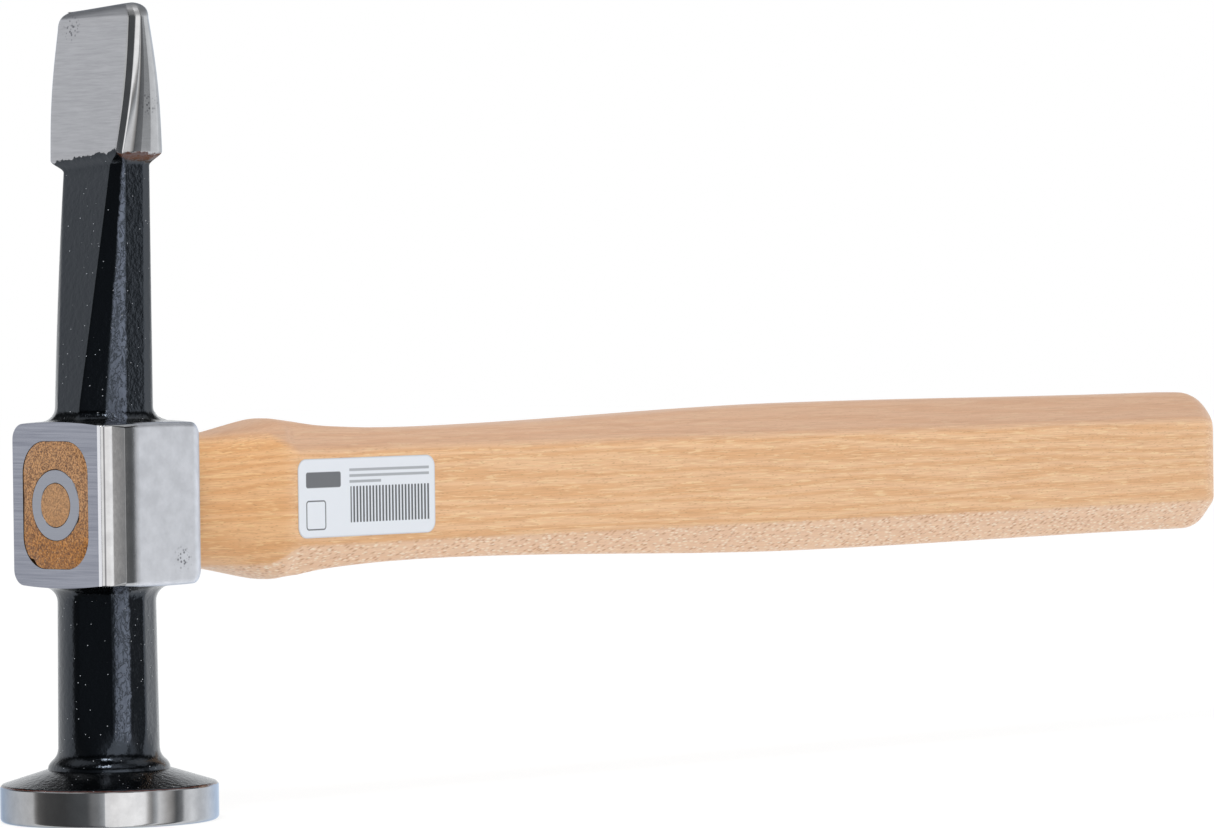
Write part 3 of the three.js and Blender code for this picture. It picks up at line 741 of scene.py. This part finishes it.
# Bumps: the lacquer's orange peel, a millimetre wide, with its folds and dust, and the ground
# steel's marks and low waves.
peel = add(tree, "TexNoise", Vector=mm, Scale=0.9, Detail=3.0, Roughness=0.6)
skin_height = add(tree, "Math", run, folds, operation="MULTIPLY")
skin_height = add(tree, "Math", skin_height, 4.0, peel, operation="MULTIPLY_ADD")
skin_height = add(tree, "Math", dust_and_glint, 0.8, skin_height, operation="MULTIPLY_ADD")
painted_bump = add(tree, "Bump", Height=skin_height, Distance=0.09 * MM)
waves = add(tree, "TexNoise", Vector=mm, Scale=0.7, Detail=3.0, Roughness=0.6)
waves = add(tree, "Math", waves, in_block, operation="MULTIPLY")
ground_height = add(tree, "Math", waves, 1.8, brushed, operation="MULTIPLY_ADD")
ground_bump = add(tree, "Bump", Height=ground_height, Distance=0.006 * MM)

metal_rough = add(tree, "MapRange", satin, 0.0, 1.0, 0.09, 0.5)
feed(tree, shader, {
    "Base Color": add(tree, "Mix", Factor=bare, A=lacquer, B=metal, data_type="RGBA"),
    "Metallic": bare,
    "Roughness": add(tree, "Mix", Factor=bare, A=0.13, B=metal_rough, data_type="FLOAT"),
    "Normal": add(tree, "Mix", Factor=bare, A=painted_bump, B=ground_bump, data_type="VECTOR"),
    "IOR": 1.43,
    "Specular Tint": (0.7, 0.82, 1.0, 1.0),
})
head.data.materials.append(steel)

# Handle
# One piece of hickory, turned to an oval behind the head and planed to eight sides along the
# grip. Its tenon fills the eye, and a ring groove in the tenon's end takes the wedge. It is
# sanded and thinly lacquered.
HANDLE_REACH = 317.0
SHAFT_DROP = 0.35
SHAFT_RISE = 0.5
SHAFT_SLOPE = SHAFT_RISE / (HANDLE_REACH - BLOCK_REAR)
GRIP_HEIGHT = 30.2
GRIP_THICKNESS = 20.6
SIDE_FLAT = 17.6
LEAST_CHAMFER = 2.0
CHAMFER_DEPTH_SHARE = 0.85
SWELLING_POWER = 3.0
RUNOUT_SHARES = (0.1125, 0.122)
TOP_RUNOUT_LAG = 5.0
UPPER_CREASE = 2.2
LOWER_CREASE = 1.1
BUTT_ROUND = 8.0
BUTT_INSET = 5.0
SHOULDER_GAP = 0.1
FINE_REACH = 60.0
HEIGHT_SHARES = np.array([
    [0.038, 0.795], [0.06, 0.805], [0.075, 0.828], [0.086, 0.864], [0.1, 0.92], [0.114, 0.976],
    [0.122, 0.998], [0.13, 0.981], [0.141, 0.941], [0.156, 0.9], [0.175, 0.872], [0.21, 0.843],
    [0.263, 0.834], [0.345, 0.866], [0.418, 0.913], [0.491, 0.961], [0.57, 0.994], [0.68, 1.0],
    [0.8, 0.99], [0.9, 0.983], [1.0, 0.99],
])
THICKNESS_SHARES = np.array([
    [0.038, 0.92], [0.076, 0.955], [0.1, 0.995], [0.116, 1.0], [0.125, 0.965], [0.14, 0.955],
    [0.19, 0.915], [0.253, 0.9], [0.348, 0.925], [0.475, 0.98], [0.6, 1.0], [1.0, 1.0],
])
RING_OUTER = 13.0
RING_BORE = 8.0
RING_LENGTH = 12.0
RING_TAIL_WALL = 1.0
RING_PLAY = 0.05


def smooth_through(shares, whole, x):
    """Half of the size at x: a cubic curve through shares of the whole size, at shares of the
    reach, whose slope at each place is that of the line between its neighbours."""
    places, sizes = shares[:, 0] * HANDLE_REACH, shares[:, 1] * whole / 2
    inner = (sizes[2:] - sizes[:-2]) / (places[2:] - places[:-2])
    ends = np.diff(sizes)[[0, -1]] / np.diff(places)[[0, -1]]
    slopes = np.concatenate([ends[:1], inner, ends[1:]])
    left = np.clip(np.searchsorted(places, x) - 1, 0, len(places) - 2)
    width = places[left + 1] - places[left]
    t = (x - places[left]) / width
    start = sizes[left] * (1 + 2 * t) * (1 - t) ** 2 + slopes[left] * width * t * (1 - t) ** 2
    end = sizes[left + 1] * (3 - 2 * t) * t ** 2 - slopes[left + 1] * width * t ** 2 * (1 - t)
    return start + end


def shaft_outline(x):
    """The shaft's section at x: an octagon with softened creases, which turns into a superellipse
    on the swelling ahead of the run-out, later on the top and the bottom than on the sides. Each
    point moves along its own ray."""
    inset = round_inset(x - HANDLE_REACH + BUTT_ROUND, BUTT_ROUND, BUTT_INSET)
    high = smooth_through(HEIGHT_SHARES, GRIP_HEIGHT, x) - inset
    thick = smooth_through(THICKNESS_SHARES, GRIP_THICKNESS, x) - inset
    side = min(SIDE_FLAT / 2, high - LEAST_CHAMFER)
    narrow = thick - CHAMFER_DEPTH_SHARE * (high - side)
    quarter = np.array([[thick, side], [narrow, high]])
    left = quarter[::-1] * [-1.0, 1.0]
    corners = np.concatenate([quarter, left, -quarter, -left])
    stretches = []
    for here, corner in enumerate(corners):
        back, on = corners[here - 1] - corner, corners[(here + 1) % len(corners)] - corner
        crease = UPPER_CREASE if corner[1] > 0 else LOWER_CREASE
        start = corner + back * min(crease / np.linalg.norm(back), LONGEST_CUT_SHARE)
        end = corner + on * min(crease / np.linalg.norm(on), LONGEST_CUT_SHARE)
        stretches.append(bow_between(start, corner, end, 1.0, 7))
    joined = []
    for stretch, following in zip(stretches, stretches[1:] + stretches[:1]):
        joined += [stretch, np.linspace(stretch[-1], following[0], 15)[1:-1]]
    outline = np.concatenate(joined)
    fullness = np.abs(outline / [thick, high]) ** SWELLING_POWER
    oval = fullness.sum(axis=1) ** (-1 / SWELLING_POWER)
    start, end = np.array(RUNOUT_SHARES) * HANDLE_REACH
    lag = TOP_RUNOUT_LAG * np.abs(outline[:, 1] / high) ** 4
    flat = np.clip((x - lag - start) / (end - start), 0.0, 1.0)
    return outline * (flat + oval * (1 - flat))[:, None]


def axis_height(x):
    """The shaft's axis: a little under the eye's at the shoulder, and slightly rising."""
    return AXIS_HEIGHT - SHAFT_DROP + SHAFT_SLOPE * (x - BLOCK_REAR)


def at_angles(outline, angles):
    """The outline's points at these angles round its middle, by interpolating its radius."""
    own = np.arctan2(outline[:, 1], outline[:, 0])
    radius = np.interp(angles, own, np.hypot(*outline.T), period=2 * np.pi)
    return radius[:, None] * np.stack([np.cos(angles), np.sin(angles)], axis=1)


def across_x(x, outline, height):
    """A ring across X from an outline in the plane, round a centre at this height."""
    return np.column_stack([np.full(len(outline), x), outline[:, 0], outline[:, 1] + height])


def bulge(angles, middle, width):
    """A bell curve round one angle."""
    return np.exp(-((angles - middle) / width) ** 2)


def handle_rings():
    """From the core inside the ring wedge, down and up its groove, over the tenon's end, along
    the tenon, out over the shoulder and along the shaft to the rounded butt. The groove's mouth
    has a notch low on the near side. The tenon stands off the eye's wall, most on the far side."""
    shoulder = BLOCK_REAR + SHOULDER_GAP
    first = shaft_outline(shoulder)
    angles = np.arctan2(first[:, 1], first[:, 0])
    round_one = np.stack([np.cos(angles), np.sin(angles)], axis=1)
    core = round_one * (RING_BORE / 2 - RING_PLAY)
    tail = round_one * (RING_BORE / 2 + RING_TAIL_WALL + RING_PLAY)
    wavy = 0.06 + 0.03 * np.sin(5 * angles + 1.0) + 0.45 * bulge(angles, -2.75, 0.13)
    mouth = round_one * (RING_OUTER / 2 + wavy)[:, None]
    gap = 0.07 + 0.3 * np.clip(np.cos(angles), 0, 1) ** 4 + 0.55 * bulge(angles, -1.02, 0.07)
    gap = (gap + 0.04 * np.sin(7 * angles) * np.cos(3 * angles + 1))[:, None]
    end = at_angles(eye_outline(-BLOCK_FRONT, 0.0), angles) - round_one * gap
    depth = -BLOCK_FRONT + RING_LENGTH + 0.1
    rings = [across_x(-BLOCK_FRONT, core * share, AXIS_HEIGHT) for share in (0.4, 0.8, 1.0)]
    rings.append(across_x(depth, core, AXIS_HEIGHT))
    rings.append(across_x(depth, tail, AXIS_HEIGHT))
    for share in (0.0, 0.5, 0.97):
        rings.append(across_x(-BLOCK_FRONT, mouth * (1 - share) + end * share, AXIS_HEIGHT))
    for x in np.linspace(-BLOCK_FRONT + 0.08, shoulder, 16):
        outline = at_angles(eye_outline(x, 0.0), angles) - round_one * gap
        rings.append(across_x(x, outline, AXIS_HEIGHT))
    butt = HANDLE_REACH - BUTT_ROUND
    places = np.concatenate([
        np.linspace(shoulder, FINE_REACH, 110),
        np.linspace(FINE_REACH, butt, 150)[1:],
        butt + BUTT_ROUND * np.sin(QUARTER[1:]),
    ])
    rings += [across_x(x, shaft_outline(x), axis_height(x)) for x in places]
    return np.array(rings)


handle = skin("hickory_handle", handle_rings())
smoothed(handle, 35)
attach(handle, "root")
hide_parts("handle")

# Hickory, sanded and thinly lacquered. It gives the eye a warm, even orange with long faint
# waves, fine dark fibres and pale golden flecks, all along the grip, and a soft sheen.
hickory, tree, shader, mm = blank_material("lacquered_hickory")
x_mm, y_mm, z_mm = add(tree, "SeparateXYZ", mm).outputs
level_mm = add(tree, "Math", x_mm, -SHAFT_SLOPE, z_mm, operation="MULTIPLY_ADD")
from_middle = add(tree, "Math", level_mm, AXIS_HEIGHT - SHAFT_DROP, operation="SUBTRACT")
off_middle = add(tree, "Math", from_middle, operation="ABSOLUTE")

# Growth rings, 2 mm apart, lie slanting in the shaft, so the swelling cuts them into long waves.
RING_WAY = (0.005, 0.3, 0.38)
drift_way = add(tree, "Mapping", Vector=mm, Scale=(0.007, 0.1, 0.1))
drift = add(tree, "TexNoise", Vector=drift_way, Scale=1.0, Detail=3.0, Roughness=0.6)
layer = add(tree, "VectorMath", mm, RING_WAY, operation="DOT_PRODUCT").outputs["Value"]
layer = add(tree, "Math", drift, 5.0, layer, operation="MULTIPLY_ADD")
layer = add(tree, "Math", layer, 2 * np.pi, operation="MULTIPLY")
layer = add(tree, "Math", layer, operation="SINE")
growth = add(tree, "MapRange", layer, -1.0, 1.0)
wood = add(tree, "ValToRGB", growth, stops=((0.1, "#f0c396"), (0.95, "#e7b381")))

# Fibres, golden rays and short dark pores, 0.3 to 0.4 mm across and all along X.
fibre_way = add(tree, "Mapping", Vector=mm, Scale=(0.12, 3.6, 3.6))
fibres = add(tree, "TexNoise", Vector=fibre_way, Scale=1.0, Detail=4.0, Roughness=0.75)
streaks = add(tree, "MapRange", fibres, 0.5, 0.68, 0.0, 0.4)
ray_way = add(tree, "Mapping", Vector=mm, Scale=(0.18, 3.0, 3.0), Location=(7.0, 3.0, 5.0))
rays = add(tree, "TexNoise", Vector=ray_way, Scale=1.0, Detail=3.0, Distortion=0.6)
glints = add(tree, "MapRange", rays, 0.55, 0.64, 0.0, 0.62)
pore_way = add(tree, "Mapping", Vector=mm, Scale=(0.5, 2.6, 2.6))
pores = flecks(tree, pore_way, 1.0, 0.24, 0.12, 0.35)
for share, tone in ((streaks, "#cf9364"), (glints, "#fad9a8"), (pores, "#a9713e")):
    wood = add(tree, "Mix", Factor=share, A=wood, B=tone, data_type="RGBA")

# Painted shade: the swelling's faces turn another way to the light, so it is tinted darker and
# more orange.
SWELLING_SHADE_TINT = (0.96, 0.885, 0.76, 1.0)
painted_swelling_shade = add(tree, "MapRange", x_mm, 40.0, 35.0)
wood = add(tree, "MixRGB", painted_swelling_shade, wood, SWELLING_SHADE_TINT, blend_type="MULTIPLY")

# Past the crease the planed chamfers carry painted light: the upper one is tinted pinkish, darker
# and calm as painted shade, the lower one paler as painted light, and full of short slanting pores.
crease = add(tree, "MapRange", x_mm, 34.0, 40.0, 11.9, SIDE_FLAT / 2)
past = add(tree, "Math", off_middle, crease, operation="SUBTRACT")
upward = add(tree, "Math", from_middle, 0.0, operation="GREATER_THAN")
downward = add(tree, "Math", 1.0, upward, operation="SUBTRACT")
above = add(tree, "MapRange", past, -0.9, 0.9, 0.0, 0.62)
above = add(tree, "Math", above, upward, operation="MULTIPLY")
below = add(tree, "MapRange", past, -0.25, 0.35)
below = add(tree, "Math", below, downward, operation="MULTIPLY")
# Painted shade on the upper chamfer.
wood = add(tree, "Mix", Factor=above, A=wood, B="#c9a38d", data_type="RGBA")
slant_way = add(
    tree, "Mapping", Vector=mm, Scale=(2.0, 0.8, 0.8), Rotation=(0.0, -0.45, 0.0),
    vector_type="TEXTURE",
)
commas = flecks(tree, slant_way, 1.0, 0.42, 0.18, 0.75)
shine_way = add(tree, "Mapping", Vector=mm, Scale=(0.6, 1.7, 1.7), Location=(9.0, 4.0, 2.0))
shine = flecks(tree, shine_way, 1.0, 0.42, 0.18, 0.9)
# Painted light on the lower chamfer, then its slanting pores and pale flecks.
for share, tone in ((0.62, "#f0cdb0"), (commas, "#c48c62"), (shine, "#fde8d0")):
    share = add(tree, "Math", share, below, operation="MULTIPLY")
    wood = add(tree, "Mix", Factor=share, A=wood, B=tone, data_type="RGBA")
shade = add(tree, "MapRange", fibres, 0.38, 0.62, 1.03, 0.95)
shade = add(tree, "CombineColor", shade, shade, shade)
wood = add(tree, "MixRGB", 1.0, wood, shade, blend_type="MULTIPLY")

# The tenon's end: dark-pored end grain, more orange towards the bottom and paler in the core.
LOW_TINT = (0.9, 0.72, 0.3, 1.0)
END_MIDDLE = (-BLOCK_FRONT, 0.0, AXIS_HEIGHT)
end_grain = add(tree, "MapRange", x_mm, 0.2 - BLOCK_FRONT, 0.1 - BLOCK_FRONT)
cells = add(tree, "TexNoise", Vector=mm, Scale=3.1, Detail=4.0, Roughness=0.8)
cut_wood = add(tree, "ValToRGB", cells, stops=((0.43, "#613c1c"), (0.58, "#c99460")))
low = add(tree, "MapRange", from_middle, 0.0, -7.0)
cut_wood = add(tree, "MixRGB", low, cut_wood, LOW_TINT, blend_type="MULTIPLY")
cell_ends = flecks(tree, mm, 1.7, 0.3, 0.15, 0.4)
from_bore = add(tree, "VectorMath", mm, END_MIDDLE, operation="DISTANCE").outputs["Value"]
core = add(tree, "MapRange", from_bore, RING_BORE / 2 + 0.6, RING_BORE / 2 + 0.2, 0.0, 0.4)
for share, tone in ((cell_ends, "#e3b681"), (core, "#b58a5e")):
    cut_wood = add(tree, "Mix", Factor=share, A=cut_wood, B=tone, data_type="RGBA")
wood = add(tree, "Mix", Factor=end_grain, A=wood, B=cut_wood, data_type="RGBA")
bump = add(tree, "Bump", Height=fibres, Distance=0.04 * MM)
feed(tree, shader, {"Base Color": wood, "Normal": bump, "Roughness": 0.45, "IOR": 1.5})
handle.data.materials.append(hickory)

# Ring wedge
# A short steel tube that thins towards its tail. It is driven into the end of the tenon to
# spread it, and ground flush together with the head's end face.
RING_BREAK = 0.12


def tube_skin(name, rings):
    """A closed ring-shaped mesh: quads between the rings, and from the last to the first."""
    rows, columns = rings.shape[:2]
    here = np.arange(rows * columns).reshape(rows, columns)
    on = np.roll(here, -1, axis=1)
    quads = np.stack([here, on, np.roll(on, -1, axis=0), np.roll(here, -1, axis=0)], axis=-1)
    return mesh_piece(name, rings.reshape(-1, 3), quads.reshape(-1, 4).tolist())


ring_front = -BLOCK_FRONT - 0.01
ring_profile = np.array([
    [ring_front + RING_BREAK, RING_BORE / 2],
    [ring_front, RING_BORE / 2 + RING_BREAK],
    [ring_front, RING_OUTER / 2 - RING_BREAK],
    [ring_front + RING_BREAK, RING_OUTER / 2],
    [-BLOCK_FRONT + RING_LENGTH, RING_BORE / 2 + RING_TAIL_WALL],
    [-BLOCK_FRONT + RING_LENGTH, RING_BORE / 2],
])
round_angles = np.linspace(0.0, 2 * np.pi, 96, endpoint=False)
unit_circle = np.stack([np.cos(round_angles), np.sin(round_angles)], axis=1)
ring_rings = np.array([across_x(x, unit_circle * radius, AXIS_HEIGHT) for x, radius in ring_profile])
ring = tube_skin("steel_ring_wedge", ring_rings)
smoothed(ring, 30)
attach(ring, "root")
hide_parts("ring_wedge")

# Steel ground flush with the end face. It gives the eye a plain grey ring with fine lines across
# it, drawn 0.2 mm apart so that they show.
wedge_steel, tree, shader, mm = blank_material("brushed_wedge_steel")
brush_way = add(tree, "Mapping", Vector=mm, Scale=(0.12, 0.12, 5.0))
brushed = add(tree, "TexNoise", Vector=brush_way, Scale=1.0, Detail=4.0, Roughness=0.7)
tone = add(tree, "ValToRGB", brushed, stops=((0.0, "#8b8e97"), (1.0, "#9b9ea7")))
bump = add(tree, "Bump", Height=brushed, Distance=0.006 * MM)
feed(tree, shader, {"Base Color": tone, "Normal": bump, "Metallic": 1.0, "Roughness": 0.34})
ring.data.materials.append(wedge_steel)

# Label
# A coated paper sticker with round corners, pressed onto the flat of the handle just behind the
# swelling.
LABEL_SET_BACK = 0.1
LABEL_LENGTH = 36.4
LABEL_HEIGHT = 14.8
LABEL_CORNER = 2.2
LABEL_THICKNESS = 0.12
LABEL_START = RUNOUT_SHARES[1] * HANDLE_REACH + LABEL_SET_BACK
LABEL_MIDDLE = LABEL_START + LABEL_LENGTH / 2
BAR_PITCH = 0.86


def label_rings():
    """Rings of four points across X: the sheet's two faces follow the shaft's side, and its
    height shrinks round the corners."""
    turn = np.linspace(0.0, np.pi / 2, 12)
    round_off = LABEL_CORNER * (1 - np.cos(turn))
    middle = np.linspace(LABEL_CORNER, LABEL_LENGTH - LABEL_CORNER, 30)[1:-1]
    places = np.concatenate([round_off + 0.01, middle, (LABEL_LENGTH - round_off - 0.01)[::-1]])
    from_end = np.minimum(places, LABEL_LENGTH - places)
    half = LABEL_HEIGHT / 2 - round_inset(LABEL_CORNER - from_end, LABEL_CORNER, LABEL_CORNER)
    x = LABEL_START + places
    inner = -smooth_through(THICKNESS_SHARES, GRIP_THICKNESS, x) - 0.01
    outer = inner - LABEL_THICKNESS
    columns = [(inner, half), (outer, half), (outer, -half), (inner, -half)]
    return np.stack([np.stack([x, y, axis_height(x) + z], axis=1) for y, z in columns], axis=1)


label = skin("paper_label", label_rings())
smoothed(label, 30)
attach(label, "root")
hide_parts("label")

# Coated paper. It gives the eye a cool, even white with crisp dark grey print.
paper, tree, shader, mm = blank_material("coated_paper")
on_sheet = add(tree, "VectorMath", mm, (1.0, 0.0, 1.0), operation="MULTIPLY")


def outside_box(along, up, half_length, half_height, radius):
    """How far a place on the sheet lies outside a box with round corners, centred this far along
    and up from the sheet's middle."""
    centre = (LABEL_MIDDLE + along, 0.0, axis_height(LABEL_MIDDLE) + up)
    off = add(tree, "VectorMath", on_sheet, centre, operation="SUBTRACT")
    off = add(tree, "VectorMath", off, operation="ABSOLUTE")
    inner = (half_length - radius, 1.0, half_height - radius)
    off = add(tree, "VectorMath", off, inner, operation="SUBTRACT")
    off = add(tree, "VectorMath", off, (0.0, 0.0, 0.0), operation="MAXIMUM")
    off = add(tree, "VectorMath", off, operation="LENGTH").outputs["Value"]
    return add(tree, "Math", off, radius, operation="SUBTRACT")


# Generic print only: a thin frame, an empty outlined box, a plain block, three thin lines and a
# field of even bars. No words, numbers or marks.
edge = outside_box(0.0, 0.0, LABEL_LENGTH / 2, LABEL_HEIGHT / 2, LABEL_CORNER)
edge_line = add(tree, "MapRange", edge, -0.32, -0.12, 0.0, 0.3)
box = outside_box(-13.5, -3.2, 2.6, 2.8, 0.7)
box = add(tree, "Math", box, 0.14, operation="ADD")
box = add(tree, "Math", box, operation="ABSOLUTE")
box = add(tree, "MapRange", box, 0.18, 0.08, 0.0, 0.85)
block = outside_box(-11.5, 3.4, 4.6, 1.5, 0.5)
block = add(tree, "MapRange", block, 0.05, -0.1, 0.0, 0.85)
ink = add(tree, "Math", box, block, operation="MAXIMUM")
for along, up, half_length in ((6.0, 5.1, 10.6), (6.0, 4.0, 10.6), (-0.4, 2.9, 4.2)):
    line = outside_box(along, up, half_length, 0.24, 0.05)
    line = add(tree, "MapRange", line, 0.08, -0.06, 0.0, 0.55)
    ink = add(tree, "Math", ink, line, operation="MAXIMUM")
x_mm = add(tree, "SeparateXYZ", mm).outputs["X"]
bars = add(tree, "Math", x_mm, 2 * np.pi / BAR_PITCH, operation="MULTIPLY")
bars = add(tree, "Math", bars, operation="SINE")
bars = add(tree, "MapRange", bars, -0.35, 0.05, 0.0, 0.9)
field = outside_box(6.2, -1.4, 10.6, 3.4, 0.1)
field = add(tree, "MapRange", field, 0.06, -0.06)
bars = add(tree, "Math", bars, field, operation="MULTIPLY")
ink = add(tree, "Math", ink, bars, operation="MAXIMUM")
printed = add(tree, "Mix", Factor=edge_line, A="#eaeff6", B="#8c929c", data_type="RGBA")
printed = add(tree, "Mix", Factor=ink, A=printed, B="#2b2e34", data_type="RGBA")
feed(tree, shader, {"Base Color": printed, "Roughness": 0.45})
label.data.materials.append(paper)

# Studio
# A pale floor under the striking face, a white surround that the camera and the polished steel
# see, and one high lamp.
WHITE = (1.0, 1.0, 1.0, 1.0)
FLOOR_HALF = 4000.0
FLOOR_HEIGHT = -0.05
floor_corners = np.array([[-1, -1, 0], [1, -1, 0], [1, 1, 0], [-1, 1, 0]]) * FLOOR_HALF
floor = mesh_piece("floor", floor_corners + [0.0, 0.0, FLOOR_HEIGHT], [(0, 1, 2, 3)])
floor.visible_glossy = False

# Pale matt paper, lit by itself for the camera alone, so that it is near white but keeps the
# hammer's shadow.
pale_paper = bpy.data.materials.new("pale_floor")
tree = emptied_tree(pale_paper)
seen_by = add(tree, "LightPath")
matt = add(tree, "BsdfDiffuse", Color=(0.85, 0.85, 0.85, 1.0))
glow = add(tree, "Emission", Color=WHITE, Strength=1.08)
share = add(tree, "Math", seen_by.outputs["Is Camera Ray"], 0.8, operation="MULTIPLY")
add(tree, "OutputMaterial", Surface=add(tree, "MixShader", share, matt, glow))
floor.data.materials.append(pale_paper)

# In the steel the surround is a tent of white cloth with dark gaps: for each heading in degrees
# from the camera's, how bright it is and how blue. The roof's brightness follows the height.
TENT = (
    (-180, 1.00, 0.02), (-147, 0.90, 0.02), (-133, 1.05, 0.02), (-105, 1.25, 0.02), (-84, 1.25, 0.00),
    (-80, 0.50, -0.02), (-76, 0.25, -0.02), (-66, 0.15, 0.00), (-44, 0.12, 0.02), (-32, 0.17, 0.05),
    (-19, 0.20, 0.05), (-14, 0.42, 0.02), (-7, 0.50, 0.03), (-2, 0.85, 0.05), (0.5, 2.00, 0.01),
    (6, 2.20, -0.01), (32, 2.45, 0.00), (42, 2.35, 0.00), (46, 1.00, -0.02), (50, 0.50, 0.00),
    (54, 0.85, 0.05), (58, 1.70, 0.01), (63, 1.35, 0.00), (69, 0.92, -0.02), (74, 0.60, -0.02),
    (79, 0.20, 0.04), (87, 0.45, 0.04), (91, 1.50, 0.02), (102, 1.80, 0.02), (115, 1.35, 0.02),
    (132, 1.60, 0.02), (180, 1.00, 0.02),
)
ROOF = ((0.35, 1.0), (0.52, 0.06), (0.66, 0.06), (0.78, 0.6))
tent_stops = [
    (degrees / 360 + 0.5, ((1.0 - blue) * bright, bright, (1.0 + blue) * bright, 1.0))
    for degrees, bright, blue in TENT
]
roof_stops = [(height, (bright, bright, bright, 1.0)) for height, bright in ROOF]
world = bpy.data.worlds.new("studio")
bpy.context.scene.world = world
tree = emptied_tree(world)
seen_by = add(tree, "LightPath")
way = add(tree, "TexCoord").outputs["Generated"]
camera_angle = np.arctan2(-np.cos(CAMERA_AZIMUTH), np.sin(CAMERA_AZIMUTH))
turned = add(tree, "Mapping", Vector=way, Rotation=(0.0, 0.0, -camera_angle))
around = add(tree, "TexGradient", Vector=turned, gradient_type="RADIAL")
tent = add(tree, "ValToRGB", around.outputs["Fac"], stops=tent_stops)
roof = add(tree, "ValToRGB", add(tree, "SeparateXYZ", way).outputs["Z"], stops=roof_stops)
surround = add(tree, "MixRGB", 1.0, tent, roof, blend_type="MULTIPLY")
plain = add(tree, "Background", Color=WHITE, Strength=0.8)
shiny = add(tree, "Background", Color=surround, Strength=1.0)
white = add(tree, "Background", Color=WHITE, Strength=1.0)
shown = add(tree, "MixShader", seen_by.outputs["Is Glossy Ray"], plain, shiny)
shown = add(tree, "MixShader", seen_by.outputs["Is Camera Ray"], shown, white)
add(tree, "OutputWorld", Surface=shown)

LAMP_RADIANCE = 25.0
LAMP_SIDE = 0.3
LAMP_DISTANCE = 1500.0
LAMP_TURN, LAMP_ELEVATION = np.radians([-8.0, 62.0])
lamp = bpy.data.objects.new("high_lamp", bpy.data.lights.new("high_lamp", "AREA"))
lamp.data.size = LAMP_SIDE
lamp.data.energy = LAMP_RADIANCE * np.pi * LAMP_SIDE ** 2
lamp_axes = camera_axes(CAMERA_AZIMUTH + LAMP_TURN, LAMP_ELEVATION, 0.0)
stand(lamp, lamp_axes, lamp_axes[2] * LAMP_DISTANCE + [0.0, 0.0, AXIS_HEIGHT])

bpy.context.scene.view_settings.view_transform = "Standard"
